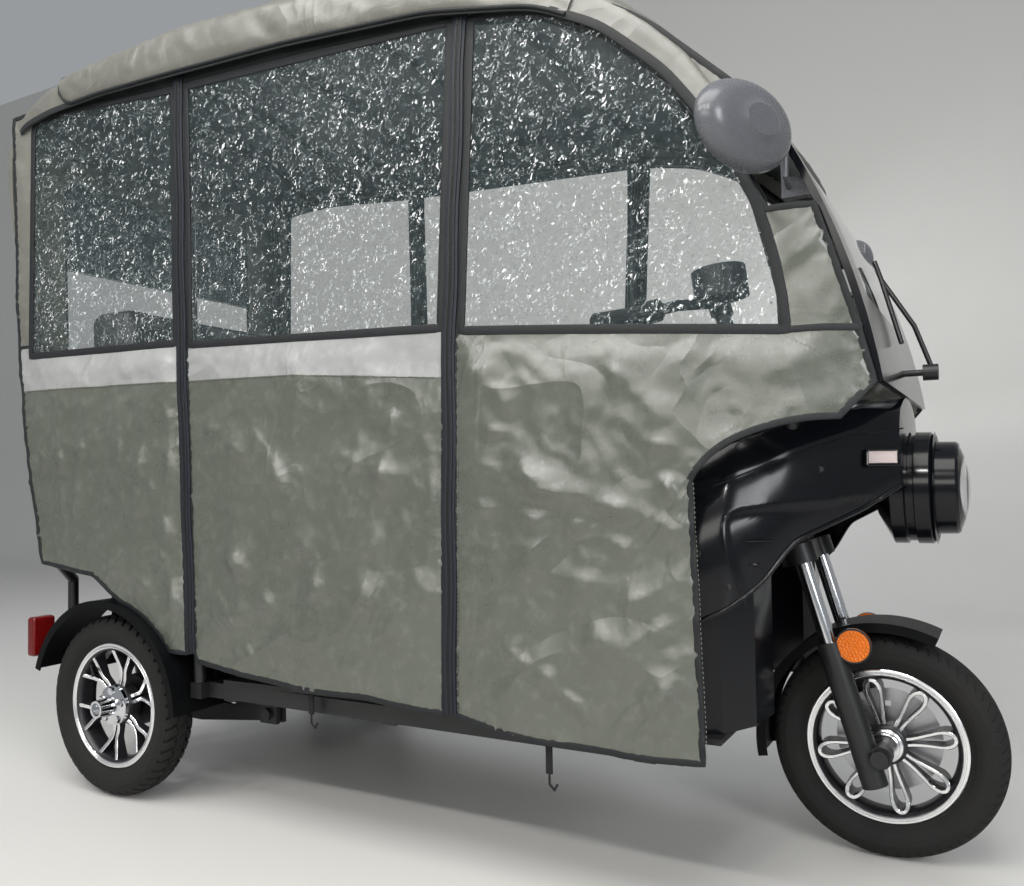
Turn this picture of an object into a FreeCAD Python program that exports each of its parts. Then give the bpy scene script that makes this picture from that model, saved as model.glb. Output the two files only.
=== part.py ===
"""Auto rickshaw with one steered front wheel, two driven rear wheels, a roof and a zipped rain cover.

Frame: X forward, Y to the left, Z up, in millimetres. The origin is on the floor, midway between the
front of the front tyre and the back of the roof.
"""
import FreeCAD
import Part
import math
import os
import Sketcher
from FreeCAD import Placement, Rotation, Vector

doc = FreeCAD.newDocument("auto_rickshaw")
sheet = doc.addObject("Spreadsheet::Sheet", "sizes")

# Every driving size, in millimetres, degrees or a plain count: name, value, what it is
SIZES = [
    ("wheelbase", 1600, "rear axle to front axle"),
    ("tyre_dia", 410, "outer diameter of all three tyres"),
    ("rear_overhang", 450, "rear axle to the back of the roof"),
    ("rear_track", 860, "between the middles of the rear wheels"),
    ("tyre_width", 84, "widest part of a tyre"),
    ("tread_width", 66, "across the tread between its shoulders"),
    ("tyre_wall", 9, "thickness of the tyre carcass"),
    ("rim_dia", 283, "outside of the rim flanges"),
    ("rim_width", 56, "between the outer faces of the rim flanges"),
    ("rim_lip", 5, "thickness of a rim flange"),
    ("flange_drop", 29, "rim flange above the tyre's seat, on the diameter"),
    ("barrel_wall", 7, "wall of the rim barrel"),
    ("web_thick", 16, "thickness of the spokes along the axle"),
    ("petal_count", 8, "looped spokes of the front wheel"),
    ("petal_tip_width", 32, "widest part of a looped spoke"),
    ("petal_foot_width", 17, "looped spoke at the hub"),
    ("petal_bar", 7, "thickness of the bar that makes the loop"),
    ("twin_count", 6, "twin-bar spokes of a rear wheel"),
    ("twin_bar", 9, "width of one bar of a twin spoke"),
    ("twin_gap", 5, "gap between the bars of a twin spoke"),
    ("hub_dia", 62, "boss at the middle of a rim"),
    ("hub_length", 70, "length of the front hub"),
    ("axle_dia", 16, "front axle"),
    ("disc_dia", 190, "front brake disc"),
    ("disc_thick", 4, "front brake disc"),
    ("rake", 16.3, "steering axis back from the vertical, in degrees"),
    ("axle_lead", 26, "front axle ahead of the fork legs, square to them"),
    ("clamp_offset", 20, "fork legs ahead of the steering axis"),
    ("leg_spread", 180, "between the middles of the fork legs"),
    ("leg_dia", 46, "lower fork leg"),
    ("stanchion_dia", 30, "chromed fork tube"),
    ("stem_dia", 32, "steering stem"),
    ("head_tube_dia", 54, "steering head on the chassis"),
    ("run_gap", 0.3, "between a turning piece and what carries it"),
    ("cover_half", 455, "middle plane to the outside of the side cover"),
    ("cover_front_half", 385, "the same where the cover ends beside the windscreen"),
    ("cover_wall", 4, "thickness of the cover cloth with its lining"),
    ("zip_width", 26, "black zip and its tapes"),
    ("tube_dia", 25, "cab frame tubes"),
    ("floor_height", 290, "floor to the top of the floor pan"),
    ("floor_thick", 10, "floor pan"),
    ("rail_height", 32, "outer side rail under the floor"),
    ("rail_width", 28, "outer side rail"),
    ("spine_size", 40, "square inner chassis tube"),
    ("guard_gap", 34, "rear mudguard to tyre"),
    ("guard_wall", 4, "wall of a mudguard"),
    ("guard_inset", 61, "middle of a rear tyre to the inner edge of its mudguard"),
    ("guard_outset", 62, "middle of a rear tyre to the outer edge of its mudguard"),
    ("arm_inset", 130, "middle of a rear tyre to its trailing arm"),
    ("shell_wall", 5, "wall of the fairing, the leg shield and the cowl"),
    ("seat_width", 780, "passenger bench"),
    ("driver_seat_width", 360, "driver seat"),
    ("roof_wall", 9, "thickness of the padded roof cloth"),
    ("roof_crown", 42, "rise of the roof from its sides to the middle"),
    ("lamp_ring_dia", 206, "headlamp bezel"),
    ("lens_dia", 154, "headlamp lens"),
    ("lamp_height", 683, "floor to the middle of the headlamp"),
    ("glass_thick", 5, "windscreen"),
    ("mirror_width", 200, "mirror head"),
    ("mirror_height", 132, "mirror head"),
    ("mirror_depth", 46, "mirror head"),
    ("grip_dia", 33, "handlebar grip"),
    ("bar_dia", 22, "handlebar tube"),
    ("plate_width", 200, "number plate holder"),
    ("plate_height", 120, "number plate holder"),
    ("plate_hole_x", 160, "between the plate screws, across"),
    ("plate_hole_z", 80, "between the plate screws, up"),
    ("plate_hole_dia", 6, "plate screw hole"),
]


class Size:
    """A length with its value and the text that ties a property to the sheet."""

    def __init__(self, value, text=None):
        self.value = float(value)
        self.text = text if text else f"({value})"

    def mix(self, other, sign, value):
        return Size(value, f"({self.text} {sign} {other.text})")

    def __add__(self, other):
        other = as_size(other)
        return self.mix(other, "+", self.value + other.value)

    def __sub__(self, other):
        other = as_size(other)
        return self.mix(other, "-", self.value - other.value)

    def __mul__(self, other):
        other = as_size(other)
        return self.mix(other, "*", self.value * other.value)

    def __truediv__(self, other):
        other = as_size(other)
        return self.mix(other, "/", self.value / other.value)

    def __radd__(self, other):
        return as_size(other) + self

    def __rsub__(self, other):
        return as_size(other) - self

    def __rmul__(self, other):
        return as_size(other) * self

    def __neg__(self):
        return 0 - self

    def __float__(self):
        return self.value


def as_size(number):
    return number if isinstance(number, Size) else Size(number)


class Sheet:
    """The sheet's sizes by name."""


s = Sheet()
for row, (name, value, meaning) in enumerate(SIZES, start=1):
    sheet.set(f"A{row}", meaning)
    sheet.set(f"B{row}", str(value))
    sheet.setAlias(f"B{row}", name)
    setattr(s, name, Size(value, f"sizes.{name}"))
doc.recompute()

# Places worked out from the sizes
tyre_r = s.tyre_dia / 2
bead_dia = s.rim_dia - s.flange_drop
guard_inner = s.rear_track / 2 - s.guard_inset
guard_outer = s.rear_track / 2 + s.guard_outset
rear_axle = -(s.wheelbase + tyre_r - s.rear_overhang) / 2
front_axle = rear_axle + s.wheelbase
RAKE = math.radians(float(s.rake))
FORK_UP = Vector(-math.sin(RAKE), 0, math.cos(RAKE))
FORK_AHEAD = Vector(math.cos(RAKE), 0, math.sin(RAKE))
AXLE_POINT = Vector(float(front_axle), 0, float(tyre_r))
LEG_FOOT = AXLE_POINT - FORK_AHEAD * float(s.axle_lead)
STEER_POINT = LEG_FOOT - FORK_AHEAD * float(s.clamp_offset)
nodes = []


def rear(x):
    """X of a station measured forward from the rear axle."""
    return float(rear_axle) + float(x)


def front(x):
    """X of a station measured forward from the front axle."""
    return float(front_axle) + float(x)


def steer(up, ahead=0.0, side=0.0):
    """A point by its height along the steering axis, from beside the front axle."""
    return STEER_POINT + FORK_UP * up + FORK_AHEAD * ahead + Vector(0, side, 0)


def node(name, made):
    """Gives a finished piece its name and puts it on the list to write."""
    made.Label = name
    nodes.append(made)
    return made


def feature(name, shape):
    """A piece whose shape is worked out here from the sheet's sizes, in the frame's own place."""
    made = doc.addObject("Part::Feature", name)
    made.Shape = shape
    made.Placement = Placement()
    return node(name, made)


def bind(made, **sizes):
    for prop, size in sizes.items():
        made.setExpression(prop.replace("_", "."), as_size(size).text)


def block(x, y, z, length, width, height):
    """A box from its lowest corner, tied to the sheet."""
    made = doc.addObject("Part::Box", "block")
    bind(made, Length=length, Width=width, Height=height)
    bind(made, Placement_Base_x=x, Placement_Base_y=y, Placement_Base_z=z)
    return made


AXIS_TURN = {
    "x": Rotation(Vector(0, 1, 0), 90),
    "y": Rotation(Vector(1, 0, 0), -90),
    "z": Rotation(),
}


def rod(x, y, z, axis, length, radius):
    """A cylinder from the middle of its first end, tied to the sheet."""
    made = doc.addObject("Part::Cylinder", "rod")
    made.Placement = Placement(Vector(), AXIS_TURN[axis])
    bind(made, Height=length, Radius=radius)
    bind(made, Placement_Base_x=x, Placement_Base_y=y, Placement_Base_z=z)
    return made


def fused(*pieces):
    made = doc.addObject("Part::MultiFuse", "fused")
    made.Shapes = list(pieces)
    return made


def cut(base, *tools):
    made = doc.addObject("Part::Cut", "cut")
    made.Base = base
    made.Tool = tools[0] if len(tools) == 1 else fused(*tools)
    return made


def both_sides(shape):
    """A shape and its mirror image across the middle plane, as two solids."""
    return Part.makeCompound([shape, shape.mirror(Vector(), Vector(0, 1, 0))])


def outline(body, plane, steps):
    """A closed sketch on a body's own plane, each corner tied to the sheet.

    A step is a corner (x, y), or (x, y, radius, side) for an arc that ends there and bulges to its
    right (side 1) or left (side -1) on the way.
    """
    sketch = body.newObject("Sketcher::SketchObject", "outline")
    faces = [f for f in body.Origin.OriginFeatures if f.Role == plane]
    sketch.AttachmentSupport = (faces[0], [""])
    sketch.MapMode = "FlatFace"
    count = len(steps)
    for i in range(count):
        a = Vector(float(steps[i][0]), float(steps[i][1]), 0)
        step = steps[(i + 1) % count]
        b = Vector(float(step[0]), float(step[1]), 0)
        if len(step) == 2:
            sketch.addGeometry(Part.LineSegment(a, b))
            continue
        radius, side = float(step[2]), step[3]
        half = (b - a).Length / 2
        right = Vector(b.y - a.y, a.x - b.x, 0).normalize() * side
        centre = (a + b) / 2 - right * math.sqrt(max(radius ** 2 - half ** 2, 0))
        sketch.addGeometry(Part.Arc(a, centre + right * radius, b))
    ends = []
    for i in range(count):
        step = steps[(i + 1) % count]
        counter = len(step) == 2 or step[3] == 1
        ends.append((1, 2) if counter else (2, 1))
    for i in range(count):
        k = (i + 1) % count
        sketch.addConstraint(Sketcher.Constraint("Coincident", i, ends[i][1], k, ends[k][0]))
    for i in range(count):
        for kind, value in (("DistanceX", steps[i][0]), ("DistanceY", steps[i][1])):
            value = as_size(value)
            rule = Sketcher.Constraint(kind, -1, 1, i, ends[i][0], value.value)
            sketch.setExpression(f"Constraints[{sketch.addConstraint(rule)}]", value.text)
        step = steps[(i + 1) % count]
        if len(step) > 2:
            radius = as_size(step[2])
            rule = Sketcher.Constraint("Radius", i, radius.value)
            sketch.setExpression(f"Constraints[{sketch.addConstraint(rule)}]", radius.text)
    return sketch


def new_body(name):
    return doc.addObject("PartDesign::Body", name)


def turned(body, steps):
    """A ring turned round the body's Z from a half section of (radius, height) corners."""
    sketch = outline(body, "XZ_Plane", steps)
    made = body.newObject("PartDesign::Revolution", "turned")
    made.Profile = sketch
    made.ReferenceAxis = (sketch, ["V_Axis"])
    made.Angle = 360
    doc.recompute()
    return made


def windows(body, steps, count):
    """Openings through the web of a wheel, one outline repeated round the axle."""
    sketch = outline(body, "XY_Plane", steps)
    pocket = body.newObject("PartDesign::Pocket", "window")
    pocket.Profile = sketch
    pocket.Type = "ThroughAll"
    pocket.SideType = "Symmetric"
    doc.recompute()
    pattern = body.newObject("PartDesign::PolarPattern", "windows")
    pattern.Originals = [pocket]
    pattern.Axis = (sketch, ["N_Axis"])
    pattern.Angle = 360
    pattern.Occurrences = int(count.value)
    pattern.setExpression("Occurrences", count.text)
    body.Tip = pattern
    doc.recompute()
    return pattern


OUT_RIGHT = Rotation(Vector(1, 0, 0), 90)
OUT_LEFT = Rotation(Vector(1, 0, 0), -90)


def place(made, turn, x, y, z):
    made.Placement = Placement(Vector(), turn)
    bind(made, Placement_Base_x=x, Placement_Base_y=y, Placement_Base_z=z)


# Wheels: each is made round its own Z, outer face up, and then laid on its axle
def tyre(name, turn, x, y):
    """A hollow carcass whose beads sit on the rim between its flanges."""
    body = new_body(name)
    bead_r = bead_dia / 2 + s.run_gap
    seat = s.rim_width / 2 - s.rim_lip - s.run_gap
    side_r = s.rim_dia / 2 * 0.56 + tyre_r * 0.44
    shoulder_r = tyre_r - 12
    wall = s.tyre_wall
    half = s.tyre_width / 2
    tread = s.tread_width / 2
    turned(body, [
        (bead_r, -seat), (s.rim_dia / 2, -seat), (side_r, -half), (shoulder_r, -tread),
        (tyre_r, -tread * 0.72), (tyre_r, tread * 0.72), (shoulder_r, tread), (side_r, half),
        (s.rim_dia / 2, seat), (bead_r, seat), (bead_r, seat - wall), (s.rim_dia / 2, seat - wall),
        (side_r, half - wall), (shoulder_r - wall, tread - wall), (shoulder_r - wall, wall - tread),
        (side_r, wall - half), (s.rim_dia / 2, wall - seat), (bead_r, wall - seat),
    ])
    place(body, turn, x, y, tyre_r)
    return node(name, body)


def rim_rings(body, hub_low, hub_high):
    """Barrel with two flanges, a web and a hub, turned in one piece."""
    half = s.rim_width / 2
    web = s.web_thick / 2
    well_r = bead_dia / 2 - s.barrel_wall
    turned(body, [
        (s.axle_dia / 2 + s.run_gap, hub_low), (s.hub_dia / 2, hub_low), (s.hub_dia / 2, -web),
        (well_r, -web), (well_r, -half), (s.rim_dia / 2, -half), (s.rim_dia / 2, s.rim_lip - half),
        (bead_dia / 2, s.rim_lip - half), (bead_dia / 2, half - s.rim_lip),
        (s.rim_dia / 2, half - s.rim_lip), (s.rim_dia / 2, half), (well_r, half), (well_r, web),
        (s.hub_dia / 2, web), (s.hub_dia / 2, hub_high), (s.axle_dia / 2 + s.run_gap, hub_high),
    ])


def front_rim():
    """Eight looped petals are what is left between two sets of openings in the web."""
    body = new_body("front_rim")
    rim_rings(body, -s.hub_length / 2, s.hub_length / 2)
    inner_r = s.hub_dia / 2 + 4
    outer_r = bead_dia / 2 - s.barrel_wall - 1
    tip_r = s.petal_tip_width / 2
    tip_at = outer_r - tip_r + 4
    slot_r = tip_r - s.petal_bar
    slot_foot = s.petal_foot_width / 2 - s.petal_bar * 0.75
    windows(body, [
        (inner_r + 6, -slot_foot), (tip_at, -slot_r), (tip_at, slot_r, slot_r * 1.02, 1),
        (inner_r + 6, slot_foot),
    ], s.petal_count)
    turn = math.pi / s.petal_count.value
    c, n = math.cos(turn), math.sin(turn)

    def from_petal(along, across):
        """A point beside a petal, seen along the middle of the opening between two petals."""
        return along * c + across * n, across * c - along * n

    foot = from_petal(inner_r, s.petal_foot_width / 2)
    tip = from_petal(tip_at, tip_r)
    edge = from_petal(tip_at + tip_r * 0.62, tip_r * 0.86)
    windows_between(body, foot, tip, edge, s.petal_count)
    place(body, OUT_RIGHT, front_axle, 0, tyre_r)
    return node("front_rim", body)


def windows_between(body, foot, tip, edge, count):
    """The openings between petals: a half step round from the petals themselves."""
    steps = [foot, tip, edge, (edge[0], -edge[1]), (tip[0], -tip[1]), (foot[0], -foot[1])]
    turn = math.pi / count.value
    c, n = math.cos(turn), math.sin(turn)
    steps = [(x * c - y * n, x * n + y * c) for x, y in steps]
    return windows(body, steps, count)


def rear_rim(name, turn, y):
    """Six twin bars, each of which splits into a V at the barrel."""
    body = new_body(name)
    rim_rings(body, -s.rim_width / 2, s.rim_width / 2 - 10)
    inner_r = s.hub_dia / 2 + 3
    outer_r = bead_dia / 2 - s.barrel_wall - 1
    bar = s.twin_bar
    gap = s.twin_gap / 2
    fork_r = inner_r + (outer_r - inner_r) * 0.56
    spread = bar * 2.1
    windows(body, [
        (inner_r + 4, -gap), (fork_r, -gap), (fork_r, gap), (inner_r + 4, gap),
    ], s.twin_count)
    windows(body, [
        (fork_r + bar, -gap * 0.4), (outer_r, -spread), (outer_r, spread), (fork_r + bar, gap * 0.4),
    ], s.twin_count)
    half_step = math.pi / s.twin_count.value
    c, n = math.cos(half_step), math.sin(half_step)
    side = gap + bar
    foot = (inner_r * c + side * n, side * c - inner_r * n)
    knee = (fork_r * c + side * n, side * c - fork_r * n)
    tip_along, tip_side = outer_r, spread + bar
    tip = (tip_along * c + tip_side * n - 4, tip_side * c - tip_along * n + 2)
    steps = [foot, knee, tip, (tip[0], -tip[1]), (knee[0], -knee[1]), (foot[0], -foot[1])]
    steps = [(x * c - y * n, x * n + y * c) for x, y in steps]
    windows(body, steps, s.twin_count)
    place(body, turn, rear_axle, y, tyre_r)
    return node(name, body)


def rear_hub(name, turn, y):
    """Chromed hub with its open cap, on the outer face of a rear rim, and the shaft through it."""
    body = new_body(name)
    rim_top = s.rim_width / 2 - 10
    shaft_r = s.axle_dia / 2
    cap_r = s.hub_dia * 0.31
    turned(body, [
        (0, -s.rim_width / 2), (shaft_r, -s.rim_width / 2), (shaft_r, rim_top),
        (s.hub_dia * 0.72, rim_top), (s.hub_dia * 0.72, rim_top + 8), (s.hub_dia * 0.5, rim_top + 12),
        (cap_r + 3, rim_top + 14), (cap_r, rim_top + 52), (cap_r - 5, rim_top + 52),
        (cap_r - 5, rim_top + 30), (0, rim_top + 30),
    ])
    place(body, turn, rear_axle, y, tyre_r)
    return node(name, body)


def brake_disc():
    """Disc on the left of the front hub, with slots round it."""
    body = new_body("brake_disc")
    low = s.rim_width / 2 + 4
    turned(body, [
        (s.hub_dia / 2, low), (s.disc_dia / 2, low),
        (s.disc_dia / 2, low + s.disc_thick), (s.hub_dia / 2, low + s.disc_thick),
    ])
    windows(body, [
        (s.disc_dia / 2 - 34, -5), (s.disc_dia / 2 - 24, -5), (s.disc_dia / 2 - 24, 5),
        (s.disc_dia / 2 - 34, 5),
    ], s.petal_count)
    place(body, OUT_LEFT, front_axle, 0, tyre_r)
    return node("brake_disc", body)


tyre("front_tyre", OUT_RIGHT, front_axle, Size(0))
front_rim()
brake_disc()
for side, turn, y in (("left", OUT_LEFT, s.rear_track / 2), ("right", OUT_RIGHT, -s.rear_track / 2)):
    tyre(f"rear_tyre_{side}", turn, rear_axle, y)
    rear_rim(f"rear_rim_{side}", turn, y)
    rear_hub(f"rear_hub_{side}", turn, y)


# Shapes that follow a path, a side outline or sections
def tube(points, dia):
    """A round bar along straight runs with mitred corners."""
    points = [Vector(*p) for p in points]
    path = Part.makePolygon(points)
    ring = Part.Wire(Part.Circle(points[0], points[1] - points[0], float(dia) / 2).toShape())
    return path.makePipeShell([ring], True, False, 1)


def bar(a, b, dia):
    a, b = Vector(*a), Vector(*b)
    return Part.makeCylinder(float(dia) / 2, (b - a).Length, a, b - a)


def box(x0, x1, y0, y1, z0, z1):
    return Part.makeBox(x1 - x0, y1 - y0, z1 - z0, Vector(x0, y0, z0))


def one(shapes):
    """Fuses shapes that meet into one solid."""
    return shapes[0].multiFuse(shapes[1:]).removeSplitter()


def largest(shape):
    """The main solid of what a cut leaves."""
    return max(shape.Solids, key=lambda solid: solid.Volume)


def side_plate(steps, y0, y1):
    """A side outline given its width from y0 to y1: (x, z) corners, or (x, z, mid x, mid z) for an
    arc that ends there."""
    edges = []
    for i, step in enumerate(steps):
        a = Vector(steps[i - 1][0], y0, steps[i - 1][1])
        b = Vector(step[0], y0, step[1])
        if len(step) == 4:
            edges.append(Part.Arc(a, Vector(step[2], y0, step[3]), b).toShape())
        else:
            edges.append(Part.makeLine(a, b))
    return Part.Face(Part.Wire(edges)).extrude(Vector(0, y1 - y0, 0))


def ring_band(centre, r0, r1, y0, y1, start, end):
    """Part of a ring about an axle, between two angles up from straight ahead, in degrees."""
    start, end = math.radians(start), math.radians(end)

    def at(radius, angle):
        return centre.x + math.cos(angle) * radius, centre.z + math.sin(angle) * radius

    mid = (start + end) / 2
    return side_plate([at(r1, start), at(r1, end) + at(r1, mid), at(r0, end), at(r0, start) + at(r0, mid)],
                      y0, y1)


# Steering: the fork, what turns with it and the handlebar
leg_half = float(s.leg_spread) / 2
leg_r = float(s.leg_dia) / 2
LEG_TOP = 212
CLAMP_LOW = 362
CLAMP_HIGH = 398
BAR_UP = 888
HEAD_LOW = CLAMP_HIGH + 4
HEAD_HIGH = 640
GUARD_FRONT = 65
GUARD_BACK = 190


def leg_point(up, side):
    return steer(up, float(s.clamp_offset), side * leg_half)


def fork_leg(side):
    return bar(leg_point(-50, side), leg_point(LEG_TOP, side), s.leg_dia)


def fork_legs():
    """Lower legs with the axle lug in front, and the axle between them."""
    half_hub = float(s.hub_length) / 2
    legs = []
    for side in (-1, 1):
        leg = fork_leg(side)
        lug = bar(AXLE_POINT + Vector(0, side * (leg_half - 17), 0),
                  AXLE_POINT + Vector(0, side * (leg_half + 17), 0), 40)
        nut = bar(AXLE_POINT + Vector(0, side * (leg_half + 17), 0),
                  AXLE_POINT + Vector(0, side * (leg_half + 32), 0), 30)
        legs += [leg, lug, nut]
    axle = bar(AXLE_POINT - Vector(0, leg_half, 0), AXLE_POINT + Vector(0, leg_half, 0), s.axle_dia)
    spacers = [bar(AXLE_POINT + Vector(0, side * (half_hub + 0.3), 0),
                   AXLE_POINT + Vector(0, side * (leg_half - 10), 0), 26) for side in (-1, 1)]
    return feature("fork_legs", one(legs + [axle] + spacers))


def fork_tubes():
    tubes = [bar(leg_point(LEG_TOP, side), leg_point(CLAMP_LOW, side), s.stanchion_dia) for side in (-1, 1)]
    return feature("fork_tubes", Part.makeCompound(tubes))


def steering_column():
    """Lower clamp with the stem that runs up through the head to the handlebar."""
    thick = CLAMP_HIGH - CLAMP_LOW
    lobes = [bar(leg_point(CLAMP_LOW, side), leg_point(CLAMP_HIGH, side), 58) for side in (-1, 1)]
    bridge_half = leg_half - 20
    bridge = Part.makeBox(54, 2 * bridge_half, thick, Vector(-22, -bridge_half, 0))
    bridge.Placement = Placement(steer(CLAMP_LOW), Rotation(Vector(0, 1, 0), -float(s.rake)))
    stem = bar(steer(CLAMP_LOW), steer(BAR_UP), s.stem_dia)
    return feature("steering_column", one(lobes + [bridge, stem]))


BAR_POINTS = [  # side, back from the axis, up the axis: half of the handlebar
    (60, 0, 14),
    (150, 44, 12),
    (215, 92, 4),
    (345, 140, -14),
]


def bar_point(index, side):
    y, back, up = BAR_POINTS[index]
    return steer(BAR_UP + up, -back, side * y)


def handlebar():
    run = [bar_point(i, -1) for i in (2, 1, 0)] + [bar_point(i, 1) for i in (0, 1, 2)]
    pieces = [tube(run, s.bar_dia)]
    for side in (-1, 1):
        pieces.append(bar(bar_point(2, side), bar_point(3, side), s.bar_dia))
    riser = bar(steer(BAR_UP), steer(BAR_UP + 30), 46)
    return one(pieces + [riser])


def handlebar_grips():
    grips = []
    for side in (-1, 1):
        a, b = bar_point(2, side), bar_point(3, side)
        start = a + (b - a) * 0.14
        end = b + (b - a) * 0.03
        grips.append(bar(start, end, s.grip_dia).cut(bar(a, b, s.bar_dia)))
    return feature("handlebar_grips", Part.makeCompound(grips))


def handlebar_controls():
    """A round meter at the middle and a lever and switch block on each side."""
    pieces = []
    centre = steer(BAR_UP + 30, 10)
    pieces.append(bar(centre, centre + Vector(-8, 0, 62), 112).cut(bar_shape))
    for side in (-1, 1):
        a, b = bar_point(1, side), bar_point(2, side)
        middle = a + (b - a) * 0.6
        along = (b - a).normalize()
        clamp = bar(middle, middle + along * 34, 44)
        root = middle + along * 12 + Vector(20, 0, 0)
        tip = bar_point(3, side) + Vector(62, -side * 12, 4)
        lever = tube([root, root + Vector(24, side * 12, 0), tip], 12)
        pieces.append(one([clamp, lever]).cut(bar_shape))
    return feature("handlebar_controls", Part.makeCompound(pieces))


def front_mudguard():
    """An arched blade over the tyre, carried between the fork legs."""
    inner = float(tyre_r) + 22
    outer = inner + float(s.guard_wall)
    half = float(s.tyre_width) / 2 + 14
    pieces = [ring_band(AXLE_POINT, inner, outer, -half, half, GUARD_FRONT, GUARD_BACK)]
    for y in (-half, half - 3):
        pieces.append(ring_band(AXLE_POINT, inner - 14, outer, y, y + 3, GUARD_FRONT, GUARD_BACK))
    for side in (-1, 1):
        foot = leg_point(200, side) - Vector(0, side * (leg_r - 2), 0)
        lip = steer(225, 20, side * (half - 1.5))
        pieces.append(bar(foot, lip, 14))
    return feature("front_mudguard", one(pieces).cut(fork_leg(-1)).cut(fork_leg(1)))


def fork_reflectors():
    """Round reflectors on brackets beside the top of the lower legs."""
    pieces = []
    for side in (-1, 1):
        middle = steer(198, float(s.clamp_offset) + 42, side * (leg_half + 6))
        disc = bar(middle, middle + Vector(0, side * 10, 0), 62)
        arm = bar(middle + Vector(0, side * 3, 0), leg_point(186, side) + Vector(0, side * 9, 0), 10)
        pieces.append(largest(one([disc, arm]).cut(fork_leg(side))))
    return feature("fork_reflectors", Part.makeCompound(pieces))


def brake_caliper():
    """Caliper astride the disc, bolted to the back of the left leg."""
    disc_y = float(s.rim_width) / 2 + 4
    disc_r = float(s.disc_dia) / 2
    middle = AXLE_POINT + Vector(-66, disc_y + 4, 44)
    body = Part.makeBox(40, 26, 44, middle - Vector(20, 12, 22))
    slot = Part.makeCylinder(disc_r + 3, float(s.disc_thick) + 3,
                             AXLE_POINT + Vector(0, disc_y - 1.5, 0), Vector(0, 1, 0))
    arm = bar(middle + Vector(10, 8, 0), leg_point(74, 1), 14)
    return feature("brake_caliper", largest(one([body, arm]).cut(slot).cut(fork_leg(1))))


fork_legs()
fork_tubes()
steering_column()
bar_shape = handlebar()
feature("handlebar", bar_shape)
handlebar_grips()
handlebar_controls()
front_mudguard()
fork_reflectors()
brake_caliper()

# Chassis under the floor, the steering head and what carries the axle
floor_top = float(s.floor_height)
floor_low = floor_top - float(s.floor_thick)
rail_low = floor_low - float(s.rail_height)
spine_low = floor_low - float(s.spine_size)
SPINE_Y = 150
RAIL_OUT = 430
REAR_END = -285
BODY_BACK = -120
BODY_FRONT = 330
FLOOR_FRONT = -268
FLOOR_NOSE = -200
WELL_BACK = -262
WELL_HALF = 178
ARM_Y = float(s.rear_track / 2 - s.arm_inset)
ARM_PIVOT = 343
PIVOT_Z = 191
BOLT_DIA = 12
POST_X = 264
POST_REAR = -262
POST_REAR_Y = float(guard_inner) + 2
SHOCK_FOOT = -132
SHOCK_LOW = 170
SHOCK_TOP = -180
SHOCK_HIGH = 452
NECK_DIA = 32
DECK = 560
REAR_CENTRE = Vector(float(rear_axle), 0, float(tyre_r))
guard_r = float(tyre_r) + float(s.guard_gap) + float(s.guard_wall)


def sides(side, near, far):
    """The two Y bounds of a piece that lies between near and far on one side."""
    return (near, far) if side > 0 else (-far, -near)


def neck_tube(side, dia):
    """One of the two tubes that rise from the chassis to the steering head."""
    return tube([(front(-310), side * 90, spine_low + 14), (front(-308), side * 80, 420),
                 steer(470, -16, side * 22)], dia)


def chassis_frame():
    """Square tubes under the floor, fused with the steering head and its two down tubes."""
    spine = float(s.spine_size)
    pieces = []
    for side in (-1, 1):
        y = sides(side, SPINE_Y - spine / 2, SPINE_Y + spine / 2)
        pieces.append(box(rear(REAR_END), front(-300), *y, spine_low, floor_low))
        y = sides(side, RAIL_OUT - float(s.rail_width), RAIL_OUT)
        pieces.append(box(rear(POST_X - 14), front(-255), *y, rail_low, floor_low))
        y = sides(side, RAIL_OUT - 10, RAIL_OUT + 22)
        pieces.append(box(rear(POST_X - 14), rear(POST_X + 18), *y, rail_low, floor_low))
        y = sides(side, ARM_Y - 16, ARM_Y + 16)
        bracket = box(rear(ARM_PIVOT - 24), rear(ARM_PIVOT + 24), *y, 170, floor_low)
        y = sides(side, ARM_Y - 4.3, ARM_Y + 4.3)
        slot = box(rear(ARM_PIVOT - 30), rear(ARM_PIVOT + 30), *y, 160, spine_low - 8)
        hole = bar((rear(ARM_PIVOT), side * (ARM_Y - 20), PIVOT_Z),
                   (rear(ARM_PIVOT), side * (ARM_Y + 20), PIVOT_Z), BOLT_DIA + 0.6)
        pieces.append(bracket.cut(slot).cut(hole))
        y = sides(side, SPINE_Y - 12, SPINE_Y + 12)
        pieces.append(box(rear(SHOCK_TOP - 15), rear(SHOCK_TOP + 15), *y, floor_low - 6, SHOCK_HIGH + 30))
        pieces.append(neck_tube(side, NECK_DIA))
    shock_bar = SHOCK_HIGH + 30.3
    pieces.append(bar((rear(SHOCK_TOP), -290, shock_bar), (rear(SHOCK_TOP), 290, shock_bar), 30))
    reach = RAIL_OUT - 2
    for x, half in ((rear(REAR_END) + 20, 384), (rear(ARM_PIVOT), reach), (rear(760), reach),
                    (front(-320), reach)):
        pieces.append(box(x - 18, x + 18, -half, half, spine_low + 4, floor_low))
    head = bar(steer(HEAD_LOW), steer(HEAD_HIGH), s.head_tube_dia)
    made = one(pieces + [head])
    hole = bar(steer(HEAD_LOW - 30), steer(HEAD_HIGH + 30), float(s.stem_dia) + 2 * float(s.run_gap))
    return feature("chassis_frame", made.cut(hole))


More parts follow.
